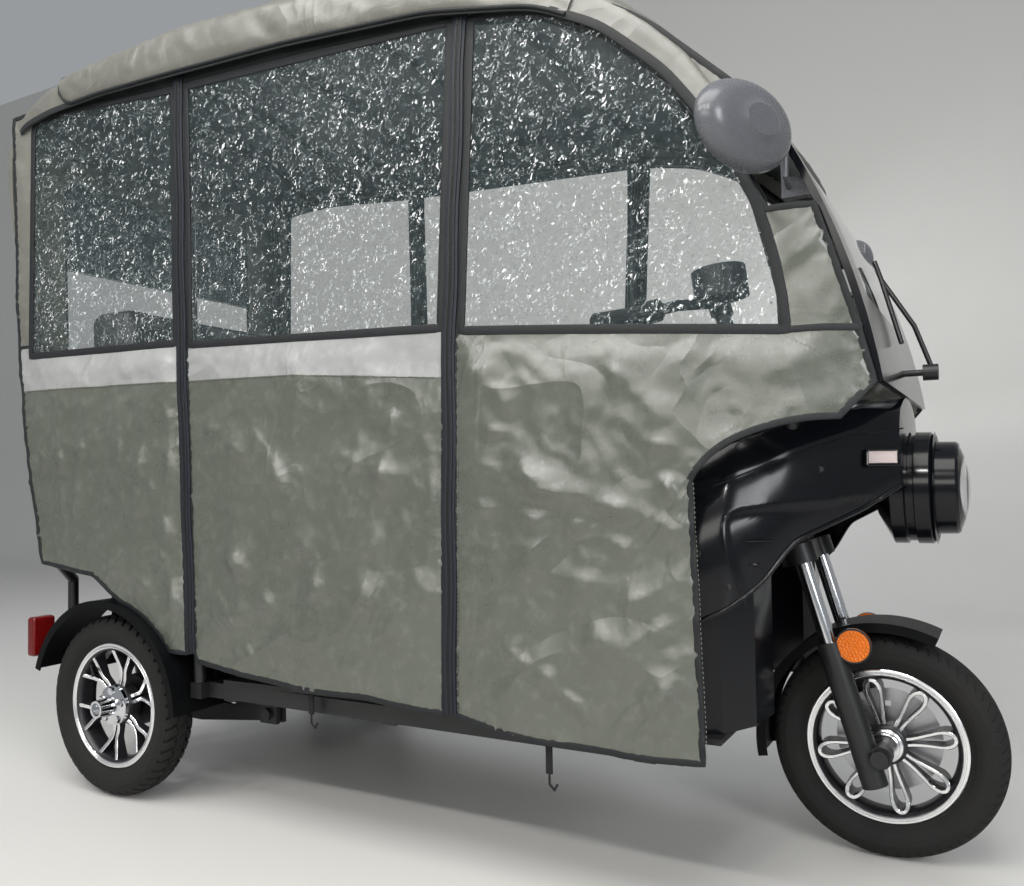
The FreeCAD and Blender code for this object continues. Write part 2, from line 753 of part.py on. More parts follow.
def floor_pan():
    """Flat floor with a notch for the front wheel and a raised edge each side."""
    y = RAIL_OUT + 4
    plan = [(rear(BODY_FRONT), -y), (front(FLOOR_NOSE), -y + 30), (front(FLOOR_NOSE), -WELL_HALF - 12),
            (front(FLOOR_FRONT - 30), -WELL_HALF - 12)]
    corners = [Vector(x, w, floor_low) for x, w in plan]
    corners += [Vector(x, -w, floor_low) for x, w in reversed(plan)]
    made = Part.Face(Part.makePolygon(corners + corners[:1])).extrude(Vector(0, 0, floor_top - floor_low))
    neck_hole = [box(front(-330), front(-290), side * 84 - 24, side * 84 + 24, floor_low - 1, floor_top + 1)
                 for side in (-1, 1)]
    return feature("floor_pan", made.cut(neck_hole[0]).cut(neck_hole[1]))


def rear_body():
    """Lower body under the bench: an open-bottomed tub with a seat deck."""
    half = float(guard_inner) - 1
    wall = 6
    outer = box(rear(BODY_BACK), rear(BODY_FRONT), -half, half, floor_low, DECK)
    inner = box(rear(BODY_BACK) + wall, rear(BODY_FRONT) - wall, -half + wall, half - wall,
                floor_low - 1, DECK - wall)
    shelf = box(rear(BODY_BACK) + wall, rear(BODY_FRONT) - wall, -half + wall, half - wall,
                floor_low, floor_low + 6)
    made = one([outer.cut(inner), shelf])
    return feature("rear_body", made)


def battery_box():
    made = block(rear_axle + 20, Size(-210), s.floor_height - s.floor_thick + 6,
                 Size(240), Size(420), Size(190))
    return node("battery_box", made)


def rear_mudguards():
    """Arched guards round the rear wheels, wider at the front where they close to the body."""
    inner = guard_r - float(s.guard_wall)
    y_in, y_out = float(guard_inner), float(guard_outer)
    blade = ring_band(REAR_CENTRE, inner, guard_r, y_in, y_out, 2, 163)
    lip = ring_band(REAR_CENTRE, inner - 13, guard_r, y_out - 3, y_out, 2, 163)
    apron = ring_band(REAR_CENTRE, inner, guard_r, ARM_Y + 16, y_in, 2, 17)
    return feature("rear_mudguards", both_sides(one([blade, lip, apron])))


def rear_axle_unit():
    """Axle tube with the drive motor and gear case as one plain block at its middle."""
    drum = 30
    pieces = [
        rod(rear_axle, -s.rear_track / 2 + s.rim_width / 2 + s.run_gap, tyre_r, "y",
            s.rear_track - s.rim_width - 2 * s.run_gap, Size(28)),
        rod(rear_axle, Size(-110), tyre_r, "y", Size(220), Size(72)),
    ]
    for side in (-1, 1):
        start = s.rear_track / 2 - s.rim_width / 2 - s.run_gap
        low = start - drum if side > 0 else -start
        pieces.append(rod(rear_axle, low, tyre_r, "y", Size(drum), Size(60)))
    return node("rear_axle", fused(*pieces))


def trailing_arms():
    """A deep plate each side from the axle to its pivot bolt, with an ear behind for the shock."""
    back, nose = rear(SHOCK_FOOT - 20), rear(ARM_PIVOT + 20)
    plate = side_plate([(back, SHOCK_LOW + 18), (rear(-34), 250), (rear(60), 262), (nose, 206), (nose, 176),
                        (rear(120), 150), (back, SHOCK_LOW - 16)], ARM_Y - 4, ARM_Y + 4)
    window = side_plate([(rear(150), 226), (rear(230), 216), (rear(230), 196), (rear(150), 200)],
                        ARM_Y - 6, ARM_Y + 6)
    pivot = Vector(rear(ARM_PIVOT), ARM_Y, PIVOT_Z)
    head = bar(pivot + Vector(0, 16.3, 0), pivot + Vector(0, 26, 0), 26)
    core = bar(pivot, pivot + Vector(0, 20, 0), BOLT_DIA)
    foot = Vector(rear(SHOCK_FOOT), ARM_Y - 4, SHOCK_LOW)
    pin = bar(foot - Vector(0, 21.7, 0), foot, 14)
    hole = bar(REAR_CENTRE + Vector(0, ARM_Y - 10, 0), REAR_CENTRE + Vector(0, ARM_Y + 10, 0), 56.6)
    made = one([plate.cut(window), head, core, pin]).cut(hole)
    return feature("trailing_arms", both_sides(made))


def rear_shocks():
    """Spring over damper behind the body, from the trailing arm up to a cross tube."""
    y = ARM_Y - 40
    foot = Vector(rear(SHOCK_FOOT), y, SHOCK_LOW)
    top = Vector(rear(SHOCK_TOP), y, SHOCK_HIGH)
    up = (top - foot).normalize()
    pieces = [
        bar(foot, top, 16),
        bar(foot + up * 26, foot + up * 120, 34),
        bar(foot + up * 90, top - up * 24, 46),
    ]
    eyes = [bar(p - Vector(0, 14, 0), p + Vector(0, 14, 0), 30) for p in (foot, top)]
    return feature("rear_shocks", both_sides(one(pieces + eyes)))


GUARD_X = -324
GUARD_Z = 345


def guard_bow():
    """The rear guard's bent tube."""
    back = rear(GUARD_X)
    return tube([(back + 36, -392, GUARD_Z), (back, -350, GUARD_Z), (back, 350, GUARD_Z),
                 (back + 36, 392, GUARD_Z)], 26)


def rear_guard():
    """Tube behind the wheels that carries the lamps and the plate holder."""
    back = rear(GUARD_X)
    end = rear(REAR_END)
    pieces = [guard_bow()]
    for side in (-1, 1):
        pieces.append(side_plate([(back - 6, GUARD_Z), (back + 8, GUARD_Z), (end, floor_low),
                                  (end, spine_low), (back - 6, spine_low)],
                                 *sides(side, SPINE_Y - 12, SPINE_Y + 12)))
        pieces.append(box(back - 14, back, *sides(side, 50, 70), GUARD_Z - 6, GUARD_Z + 6))
    w, h = float(s.plate_width) / 2, float(s.plate_height)
    low = GUARD_Z - 18
    pieces.append(box(back - 20, back - 14, -w, w, low, low + h))
    made = one(pieces)
    hole_y, hole_z = float(s.plate_hole_x) / 2, float(s.plate_hole_z) / 2
    for y in (-hole_y, hole_y):
        for z in (low + h / 2 - hole_z, low + h / 2 + hole_z):
            made = made.cut(bar((back - 30, y, z), (back - 8, y, z), s.plate_hole_dia))
    return feature("rear_guard", made)


def tail_lamps():
    """A lamp at each end of the rear guard."""
    back = rear(GUARD_X)
    lamp = box(back + 2, back + 30, 396, 456, 290, 386)
    neck = box(back + 20, back + 44, 384, 396.5, GUARD_Z - 11, GUARD_Z + 11)
    made = one([lamp.makeFillet(8, lamp.Edges), neck]).cut(guard_bow())
    return feature("tail_lamps", both_sides(largest(made)))


chassis_frame()
floor_pan()
rear_body()
battery_box()
rear_mudguards()
rear_axle_unit()
trailing_arms()
rear_shocks()
rear_guard()
tail_lamps()


# Side cover: one curved wall each side, cut by side outlines into panels, windows and zips
cover_half = float(s.cover_half)
cover_wall = float(s.cover_wall)
CURVE_START = front(-600)
CURVE_END = front(60)


def wall_half(x):
    """Y of the outside of the side cover: straight, then curving in towards the windscreen."""
    if x < CURVE_START:
        return cover_half
    share = (x - CURVE_START) / (CURVE_END - CURVE_START)
    return cover_half - (cover_half - float(s.cover_front_half)) * share ** 2


def side_wall_shape():
    """The wall of the side cover in plan, from behind the cab to the windscreen."""
    middle = (CURVE_START + CURVE_END) / 2

    def edge(inset):
        return [Vector(x, wall_half(x) - inset, 0) for x in (rear(-460), CURVE_START, middle, CURVE_END)]

    a, b = edge(0), edge(cover_wall)
    wire = Part.Wire([
        Part.makeLine(a[0], a[1]), Part.Arc(a[1], a[2], a[3]).toShape(), Part.makeLine(a[3], b[3]),
        Part.Arc(b[3], b[2], b[1]).toShape(), Part.makeLine(b[1], b[0]), Part.makeLine(b[0], a[0]),
    ])
    return Part.Face(wire).extrude(Vector(0, 0, 2000))


side_wall = side_wall_shape()


def cover_piece(steps, wall=side_wall):
    """The part of the side wall inside a side outline."""
    return side_plate(steps, 100, 600).common(wall)


zip_half = float(s.zip_width) / 2
REAR_ZIP = [(222, 1640), (233, 1017), (261, 345)]
FRONT_ZIP = [(965, 1600), (931, 986), (922, 291)]


def zip_edge(line, offset):
    return [(rear(x + offset), z) for x, z in line]


# Window outlines in the side view, each clockwise from its rear low corner
rear_window = [
    (rear(-306), 1032), (rear(-321), 1330), (rear(-312), 1572), (rear(-262), 1618, rear(-294), 1606),
    (rear(-180), 1624), (rear(204), 1592), (rear(213), 1021),
]
mid_window = [(rear(257), 1014), (rear(247), 1590), (rear(940), 1556), (rear(911), 990)]
front_window = [
    (rear(955), 981), (rear(985), 1549), (front(-294), 1420, front(-440), 1514),
    (front(-79), 937, front(-150), 1216),
]

rear_panel = [
    (rear(-252), 524), (rear(-349), 1030), (rear(-368), 1640),
] + zip_edge(REAR_ZIP, -zip_half) + [(rear(167), 351), (rear(118), 395), (rear(52), 447), (rear(-53), 503)]
mid_panel = zip_edge(REAR_ZIP[::-1], zip_half) + zip_edge(FRONT_ZIP, -zip_half) + [
    (rear(805), 297), (rear(723), 303), (rear(560), 303), (rear(423), 316), (rear(286), 331),
]
SCREEN = [(56, 852), (-20, 1130), (-112, 1310)]  # from the front axle: the windscreen's middle line
BORDER = 12
screen_low, screen_mid, screen_top = [(front(x - BORDER - 0.3), z) for x, z in SCREEN]
front_panel = zip_edge(FRONT_ZIP[::-1], zip_half) + [
    (front(-590), 1596), (front(-440), 1540), (front(-262), 1442, front(-345), 1500), screen_top,
    screen_low + screen_mid, (front(-5), 800),
    (front(-155), 772, front(-78), 795), (front(-228), 706, front(-200), 742), (front(-216), 262),
    (rear(1300), 262), (rear(1114), 266), (rear(1020), 275),
]


def cover_panels():
    """Cloth round the windows; the guards, the roof and the mirror brackets are left clear."""
    arch_tool = bar(REAR_CENTRE, REAR_CENTRE + Vector(0, 600, 0), 2 * guard_r + 0.6)
    bracket_slot = side_plate([(front(-132), 1180), (front(-105), 1206), (front(-30), 1184),
                               (front(40), 1190), (front(40), 1126), (front(-96), 1126)], 100, 600)
    for name, panel, window in (
        ("cover_rear_panels", rear_panel, rear_window),
        ("cover_mid_panels", mid_panel, mid_window),
        ("cover_front_panels", front_panel, front_window),
    ):
        made = cover_piece(panel).cut(side_plate(window, 100, 600))
        made = made.cut(arch_tool).cut(bracket_slot).cut(roof_shell)
        feature(name, both_sides(largest(made)))


def side_windows():
    panes = []
    for window in (rear_window, mid_window, front_window):
        pane = cover_piece(window)
        panes += [pane, pane.mirror(Vector(), Vector(0, 1, 0))]
    return feature("side_windows", Part.makeCompound(panes))


def cover_zips():
    strips = []
    for line in (REAR_ZIP, FRONT_ZIP):
        steps = zip_edge(line, -zip_half) + zip_edge(line[::-1], zip_half)
        strip = cover_piece(steps)
        strips += [strip, strip.mirror(Vector(), Vector(0, 1, 0))]
    return feature("cover_zips", Part.makeCompound(strips))


BACK_LINE = [(-368, 1640), (-349, 1030), (-252, 524)]


def cover_back():
    """Leaning back wall with its window."""
    steps = [(rear(x), z) for x, z in BACK_LINE] + [(rear(x) + cover_wall, z) for x, z in BACK_LINE[::-1]]
    half = cover_half - cover_wall
    wall = largest(side_plate(steps, -half, half).cut(roof_shell))
    pane_box = box(rear(-460), rear(-200), -330, 330, 1060, 1520)
    feature("cover_back_panel", wall.cut(pane_box))
    feature("back_window", wall.common(pane_box))


def cover_straps():
    """Short webbing straps with wire hooks that hang from the hem."""
    pieces = []
    for x, top, low in ((588, 318, 250), (1114, 280, 208)):
        x = rear(x)
        y = wall_half(x + 6) - cover_wall - 0.5
        strap = box(x - 6, x + 6, y - 3, y, low, top)
        hook = tube([(x, y - 1.5, low + 4), (x, y - 1.5, low - 18), (x + 9, y - 1.5, low - 26),
                     (x + 15, y - 1.5, low - 16)], 4)
        made = one([strap, hook])
        pieces += [made, made.mirror(Vector(), Vector(0, 1, 0))]
    return feature("cover_straps", Part.makeCompound(pieces))


# Roof: arch sections along the cab, outer and inner, the inner one open below
ROOF_BACK_LEAN = 50
ROOF_BACK_BAND = 40
roof_back = (ROOF_BACK_BAND + float(s.roof_crown)) * math.sin(math.radians(ROOF_BACK_LEAN))
ROOF = [  # from the rear axle: x, height of the lower edge, lean forward, band height, half width
    (roof_back - float(s.rear_overhang), 1545, -ROOF_BACK_LEAN, ROOF_BACK_BAND, 456),
    (-330, 1608, -20, 52, 466),
    (-215, 1620, -6, 84, 472),
    (-20, 1622, -2, 96, 476),
    (236, 1612, 1, 122, 477),
    (550, 1598, 4, 112, 477),
    (900, 1570, 8, 92, 476),
    (1120, 1526, 20, 74, 470),
    (1235, 1468, 35, 64, 462),
    (1345, 1368, 48, 58, 452),
    (1420, 1262, 60, 55, 444),
]


SHOULDER_SHARE = 0.45  # of the band height: the rounding between the band and the top


def arch_point(row, side, high):
    """A point in a roof section's own leaning plane, across the cab and up from its lower edge."""
    lean = math.radians(row[2])
    return Vector(rear(row[0]) + math.sin(lean) * high, side, row[1] + math.cos(lean) * high)


def arch(row, inset, deeper):
    """A closed arch across the cab, with its shoulders rounded by arcs."""
    half, top = row[4] - inset, row[3] - inset
    crown = top + float(s.roof_crown)
    shoulder = row[3] * SHOULDER_SHARE
    rise = shoulder * 0.29

    def at(side, high):
        return arch_point(row, side, high)

    points = [at(-half, -deeper), at(-half, top - shoulder), at(-half + shoulder, top),
              at(half - shoulder, top), at(half, top - shoulder), at(half, -deeper)]
    return Part.Wire([
        Part.makeLine(points[0], points[1]),
        Part.Arc(points[1], at(-half + rise, top - rise), points[2]).toShape(),
        Part.Arc(points[2], at(0, crown), points[3]).toShape(),
        Part.Arc(points[3], at(half - rise, top - rise), points[4]).toShape(),
        Part.makeLine(points[4], points[5]),
        Part.makeLine(points[5], points[0]),
    ])


roof_wall = float(s.roof_wall)
roof_outer = Part.makeLoft([arch(row, 0, 0) for row in ROOF], True, True)
roof_rows = [(ROOF[0][0] + roof_wall,) + ROOF[0][1:]] + ROOF[1:]
roof_hollow = Part.makeLoft([arch(row, roof_wall, 60) for row in roof_rows], True, True)
roof_shell = largest(roof_outer.cut(roof_hollow))


def roof_canopy():
    """Padded cloth roof with its side valances, and a skirt that closes its back corners."""
    half = ROOF[0][4]
    wall = side_plate([(rear(-421), 1575), (rear(-412), 1575), (rear(-394), 1443), (rear(-358), 1284),
                       (rear(-367), 1284), (rear(-403), 1443)], -half, half)
    pieces = [roof_shell, wall]
    for side in (-1, 1):
        pieces.append(side_plate([(rear(-421), 1575), (rear(-372), 1560), (rear(-363), 1400),
                                  (rear(-359), 1284), (rear(-367), 1284), (rear(-403), 1443)],
                                 *sides(side, half - 8, half)))
    return feature("roof_canopy", one(pieces))


roof_canopy()
cover_panels()
side_windows()
cover_zips()
cover_back()
cover_straps()

# Cab frame: side loops that follow the cover's edge, posts and roof bows
tube_r = float(s.tube_dia) / 2
BOW_DIA = 20


def beside_wall(x, z, side):
    """Middle of a frame tube that lies just inside the side cover."""
    return Vector(x, side * (wall_half(x) - cover_wall - tube_r - 0.5), z)


def jointed(points, dia):
    """Round bars from point to point with a ball at each bend."""
    balls = [Part.makeSphere(float(dia) / 2, p) for p in points[1:-1]]
    return [bar(a, b, dia) for a, b in zip(points, points[1:])] + balls


def roof_bow(row):
    """A bow that follows the roof's inner face in a section's own plane, with a leg each side."""
    half, top = row[4] - roof_wall - row[3] * SHOULDER_SHARE, row[3] - roof_wall
    rise = float(s.roof_crown)
    radius = (half ** 2 + rise ** 2) / (2 * rise)
    centre = arch_point(row, 0, top + rise - radius)
    radius -= BOW_DIA / 2 + 0.6
    turn = math.asin((half - 12) / radius)
    lean = math.radians(row[2])
    up = Vector(math.sin(lean), 0, math.cos(lean))
    across = Vector(0, 1, 0)
    end = centre + up * (radius * math.cos(turn)) + across * (radius * math.sin(turn))
    along = across * math.cos(turn) - up * math.sin(turn)
    ring = Part.Face(Part.Wire(Part.Circle(end, along, BOW_DIA / 2).toShape()))
    pieces = [ring.revolve(centre, across.cross(up), 2 * math.degrees(turn))]
    for side in (-1, 1):
        top_end = Vector(end.x, side * end.y, end.z)
        foot = arch_point(row, 0, SIDE_HIGH)
        foot = beside_wall(foot.x, foot.z, side)
        pieces += [Part.makeSphere(BOW_DIA / 2 + 0.5, top_end), bar(top_end, foot, BOW_DIA - 1)]
    return pieces[0].multiFuse(pieces[1:])


SIDE_HIGH = 4


def side_loop():
    """The left side's tubes: a loop under the edge of the roof, and a post behind each zip."""
    run = [Vector(rear(POST_REAR), POST_REAR_Y, floor_low + 0.3),
           Vector(rear(POST_REAR), POST_REAR_Y, 474)]
    run += [beside_wall(rear(x), z, 1) for x, z in ((-226, 526), (-331, 1030), (-346, 1555))]
    for row in ROOF[1:]:
        point = arch_point(row, 0, SIDE_HIGH)
        run.append(beside_wall(point.x, point.z, 1))
    run += [beside_wall(front(x), z, 1) for x, z in ((-120, 1150), (-84, 1000))]
    run.append(Vector(front(-110), 280, 760))
    pieces = jointed(run, s.tube_dia)
    for foot, foot_z, x, z in ((POST_X, floor_low + 0.3, 225, 1614), (922, floor_top + 0.3, 948, 1570)):
        pieces.append(bar(beside_wall(rear(foot), foot_z, 1), beside_wall(rear(x), z, 1), s.tube_dia))
    return largest(one(pieces).cut(fairing_outer))


def cab_frame():
    """Side loops, the bows between them under the roof, and the rails across the back."""
    loops = both_sides(side_loop())
    feature("cab_side_loops", loops)
    bows = [largest(roof_bow(row).cut(loops)) for row in ROOF[2:8]]
    feature("roof_bows", Part.makeCompound(bows))
    rails = []
    for x, y, z in ((rear(POST_REAR), POST_REAR_Y, 400), (rear(-331), cover_half - 20, 1030)):
        rails.append(largest(bar((x, -y, z), (x, y, z), BOW_DIA).cut(loops)))
    feature("back_rails", Part.makeCompound(rails))


# Front: fairing, leg shield, lamps, windscreen and mirrors
FAIRING = [  # from the front axle: x, half width, lower edge, top at the side, top at the middle
    (-262, 408, 462, 752, 800),
    (-190, 384, 495, 796, 828),
    (-142, 350, 535, 806, 837),
    (-100, 312, 600, 812, 844),
    (0, 222, 652, 822, 852),
    (56, 172, 692, 818, 848),
]


def fairing_section(row, inset, deeper):
    x, half, low, side_top, top = row
    half, side_top, top = half - inset, side_top - inset, top - inset
    low -= deeper

    def at(y, z):
        return Vector(front(x), y, z)

    knee = low + (side_top - low) * 0.45
    foot = half * 0.985
    turn = half * 0.80
    return Part.Wire([
        Part.Arc(at(-foot, low), at(-half, knee), at(-turn, side_top)).toShape(),
        Part.Arc(at(-turn, side_top), at(0, top), at(turn, side_top)).toShape(),
        Part.Arc(at(turn, side_top), at(half, knee), at(foot, low)).toShape(),
        Part.makeLine(at(foot, low), at(-foot, low)),
    ])


def fairing_solids():
    wall = float(s.shell_wall)
    outer = Part.makeLoft([fairing_section(row, 0, 0) for row in FAIRING], True, True)
    first, last = FAIRING[0], FAIRING[-1]
    rows = [(first[0] - 10,) + first[1:]] + FAIRING[1:-1] + [(last[0] - wall,) + last[1:]]
    inner = Part.makeLoft([fairing_section(row, wall, 40) for row in rows], True, True)
    return outer, inner


fairing_outer, fairing_inner = fairing_solids()
cab_frame()
lamp_x = front(80)
lamp_z = float(s.lamp_height)
ring_r = float(s.lamp_ring_dia) / 2
lens_r = float(s.lens_dia) / 2


LENS_PLANE = 58
LENS_SEAT = 8
LENS_RISE = 17
BEZEL_FRONT = 18


def lamp_body():
    """The headlamp housing turned round its own axis."""
    seat = LENS_PLANE - LENS_SEAT
    profile = [(-80, 0), (-80, 52), (-52, ring_r), (-30, ring_r), (-27, ring_r - 5), (-14, ring_r - 5),
               (-12, ring_r), (BEZEL_FRONT - 6, ring_r), (BEZEL_FRONT, ring_r - 6),
               (BEZEL_FRONT, lens_r + 8), (LENS_PLANE - 5, lens_r + 7), (LENS_PLANE, lens_r + 3),
               (LENS_PLANE, lens_r), (seat, lens_r), (BEZEL_FRONT + 12, 0)]
    points = [Vector(lamp_x + x, 0, lamp_z + r) for x, r in profile]
    face = Part.Face(Part.makePolygon(points + points[:1]))
    return face.revolve(Vector(lamp_x, 0, lamp_z), Vector(1, 0, 0), 360)


def front_fairing():
    made = fairing_outer.cut(fairing_inner)
    room = Part.makeCylinder(ring_r, 300, Vector(lamp_x - 150, 0, lamp_z), Vector(1, 0, 0))
    made = made.cut(room)
    neck = bar(steer(HEAD_HIGH - 90), steer(BAR_UP), float(s.head_tube_dia) + 40)
    return feature("front_fairing", largest(made.cut(neck)))


def headlamp():
    """Housing with its ring, and a domed lens seated in the end of the barrel."""
    feature("headlamp_housing", lamp_body())
    radius = lens_r - 0.3
    ahead = Vector(1, 0, 0)
    plane = lamp_x + LENS_PLANE
    ball_r = (radius ** 2 + LENS_RISE ** 2) / (2 * LENS_RISE)
    ball = Part.makeSphere(ball_r, Vector(plane + LENS_RISE - ball_r, 0, lamp_z))
    front_half = Part.makeCylinder(radius, LENS_RISE + 10, Vector(plane, 0, lamp_z), ahead)
    plug = Part.makeCylinder(radius, LENS_SEAT, Vector(plane - LENS_SEAT, 0, lamp_z), ahead)
    feature("headlamp_lens", one([ball.common(front_half), plug]))


def turn_signals():
    """Side lamps let into the nose."""
    lens = box(front(8), front(54), 120, 240, 726, 752)
    grown = [(row[0], row[1] + 6, row[2], row[3], row[4]) for row in FAIRING]
    outside = Part.makeLoft([fairing_section(row, 0, 0) for row in grown], True, True)
    made = lens.common(outside).cut(fairing_outer)
    return feature("turn_signals", both_sides(largest(made)))


def leg_shield():
    """Upright shield behind the front wheel, folded in round a well for the wheel."""
    wall = float(s.shell_wall)
    plan = [(front(-262), 396), (front(-205), 372), (front(-168), 300), (front(-160), 205),
            (front(-182), WELL_HALF), (front(WELL_BACK), WELL_HALF)]
    inner = [(front(-262), 396 - wall * 2), (front(-209), 368 - wall), (front(-173), 298),
             (front(-166), 207 + wall), (front(-185), WELL_HALF + wall),
             (front(WELL_BACK) - wall, WELL_HALF + wall)]
    ring = plan + [(x, -y) for x, y in reversed(plan)] + [(x, -y) for x, y in inner]
    ring += list(reversed(inner))
    points = [Vector(x, y, floor_top) for x, y in ring]
    plate = Part.Face(Part.makePolygon(points + points[:1])).extrude(Vector(0, 0, 330))
    made = one([plate.cut(fairing_outer), plate.common(fairing_inner)])
    for side in (-1, 1):
        made = made.cut(neck_tube(side, NECK_DIA + 0.6))
    return feature("leg_shield", largest(made))


def screen_band(wall, low, high, half_low, half_high):
    """Part of the windscreen's curved sheet between two heights, with its own half widths there."""
    a, b, c = [(front(x), z) for x, z in SCREEN]
    a_back, b_back, c_back = [(x - wall, z) for x, z in (a, b, c)]
    sheet = side_plate([a, c + b, c_back, a_back + b_back], -500, 500)
    corners = [Vector(front(-400), y, z) for y, z in
               ((-half_low, low), (half_low, low), (half_high, high), (-half_high, high))]
    view = Part.Face(Part.makePolygon(corners + corners[:1])).extrude(Vector(700, 0, 0))
    return sheet.common(view)


GLASS_LOW, GLASS_HIGH, GLASS_HALF = 1000, 1309, 305


def windscreen():
    """Curved sheet in a wide black border that reaches out to the side cover."""
    a, b, c = [wall_half(front(x - BORDER)) for x, z in SCREEN]
    glass = screen_band(float(s.glass_thick), GLASS_LOW, GLASS_HIGH, GLASS_HALF, GLASS_HALF)
    feature("windscreen", glass.cut(roof_shell))
    middle_z = SCREEN[1][1]
    border = one([screen_band(BORDER, SCREEN[0][1], middle_z, a, b),
                  screen_band(BORDER, middle_z, SCREEN[2][1], b, c)])
    hole = box(front(-300), front(200), -GLASS_HALF, GLASS_HALF, GLASS_LOW, GLASS_HIGH)
    feature("windscreen_frame", largest(border.cut(hole).cut(roof_shell).cut(fairing_outer)))


def wiper():
    """Brass pivot at the foot of the screen with the arm lifted off the glass."""
    pieces = [
        bar((front(44), 0, 897), (front(106), 0, 897), 12),
        bar((front(82), 0, 897), (front(108), 0, 897), 30),
        tube([(front(100), 0, 897), (front(70), -4, 985), (front(14), 6, 1080)], 9),
        tube([(front(50), -34, 951), (front(14), 6, 1080), (front(2), 12, 1118)], 9),
    ]
    return feature("wiper", largest(one(pieces).cut(screen_band(BORDER, SCREEN[0][1], 1310, 400, 400))))


MIRROR_X, MIRROR_Y, MIRROR_Z = -118, 538, 1221
MIRROR_TURN = 24  # each shell faces forward and outward
MIRROR_FORM = ((0, 0.97), (6, 1.0), (22, 0.95), (37, 0.72), (46, 0.34))


def mirror_oval(x, scale):
    """An upright oval of the mirror head, by its distance ahead of the head's rear face."""
    centre = Vector(front(MIRROR_X) + x, MIRROR_Y, MIRROR_Z)
    across = Vector(0, float(s.mirror_width) / 2 * scale, 0)
    tall = Vector(0, 0, float(s.mirror_height) / 2 * scale)
    return Part.Wire(Part.Ellipse(centre + across, centre + tall, centre).toShape())


def mirrors():
    """Shell heads on bent arms from the windscreen's sides, each with its glass behind."""
    deep = float(s.mirror_depth) / MIRROR_FORM[-1][0]
    head = Part.makeLoft([mirror_oval(x * deep, scale) for x, scale in MIRROR_FORM], True, False)
    pocket = Part.Face(mirror_oval(-1, 0.9)).extrude(Vector(5, 0, 0))
    glass = Part.Face(mirror_oval(0.3, 0.897)).extrude(Vector(3.4, 0, 0))
    middle = Vector(front(MIRROR_X) + float(s.mirror_depth) / 2, MIRROR_Y, MIRROR_Z)
    for made in (head, pocket, glass):
        made.rotate(middle, Vector(0, 0, 1), MIRROR_TURN)
    foot = Vector(front(-74), wall_half(front(-74)) - 30, 1166)
    block = box(foot.x - 12, foot.x + 40, foot.y - 12, foot.y + 8, foot.z - 16, foot.z + 16)
    arm = tube([foot, (foot.x + 2, foot.y + 48, foot.z + 8), (foot.x + 6, foot.y + 56, foot.z + 84),
                (front(MIRROR_X) + 44, MIRROR_Y - 52, MIRROR_Z + 30)], 11)
    block = block.cut(screen_band(BORDER + 0.3, SCREEN[0][1], 1310, 450, 450))
    made = one([head.cut(pocket), arm, largest(block)])
    feature("mirrors", both_sides(made))
    feature("mirror_glasses", both_sides(glass))


front_fairing()
headlamp()
turn_signals()
leg_shield()
windscreen()
wiper()
mirrors()


# Seats
def seats():
    """Driver's seat on its box, and the passenger bench with a backrest that stands on the deck."""
    half = float(s.seat_width) / 2
    driver = s.driver_seat_width
    base = cut(
        block(front_axle - 840, -driver / 2 + 20, s.floor_height, Size(300), driver - 40, Size(290)),
        block(front_axle - 832, -driver / 2 + 28, s.floor_height - 1, Size(284), driver - 56, Size(283)),
    )
    node("driver_seat_base", base)
    node("driver_seat_cushion", block(front_axle - 860, -driver / 2, s.floor_height + 290.3,
                                      Size(360), driver, Size(90)))
    node("bench_cushion", block(rear_axle - 60, -s.seat_width / 2, Size(DECK + 0.3), Size(440), s.seat_width,
                                Size(100)))
    feature("bench_backrest", side_plate([
        (rear(-60.3), DECK + 0.3), (rear(-118), DECK + 0.3), (rear(-150), 700), (rear(-212), 1160),
        (rear(-132), 1160), (rear(-60.3), 690),
    ], -half, half))


seats()

doc.recompute()


def check_and_write():
    """Every object is up to date and every piece is one valid solid set before anything is written."""
    for made in doc.Objects:
        if "Invalid" in made.State or "Error" in made.State:
            raise RuntimeError(f"{made.Name} ({made.Label}) is {made.State}")
    os.makedirs("parts", exist_ok=True)
    for made in nodes:
        shape = made.Shape
        if shape.isNull() or not shape.isValid() or not shape.Solids:
            raise RuntimeError(f"{made.Label} has no valid shape")
    for made in nodes:
        made.Shape.exportStep(f"parts/{made.Label}.step")
        print(made.Label, len(made.Shape.Solids), round(made.Shape.Volume / 1000), "cm3")


check_and_write()
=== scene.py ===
# %% [markdown]
# # Auto rickshaw with a zipped rain cover
# The vehicle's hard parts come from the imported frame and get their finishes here. Its soft parts are
# made here: the coated cloth walls, the crinkled clear windows, the padded roof and the seats. So are
# the parts that are too fine for the frame: tread, seams, zips, screws and lamp glass.
# Lengths are in metres, +X is forward, +Y is the vehicle's left and +Z is up.

import math

import bmesh
import bpy
import numpy as np
from mathutils import Matrix, Vector, noise
from mathutils.bvhtree import BVHTree
from mathutils.geometry import delaunay_2d_cdt


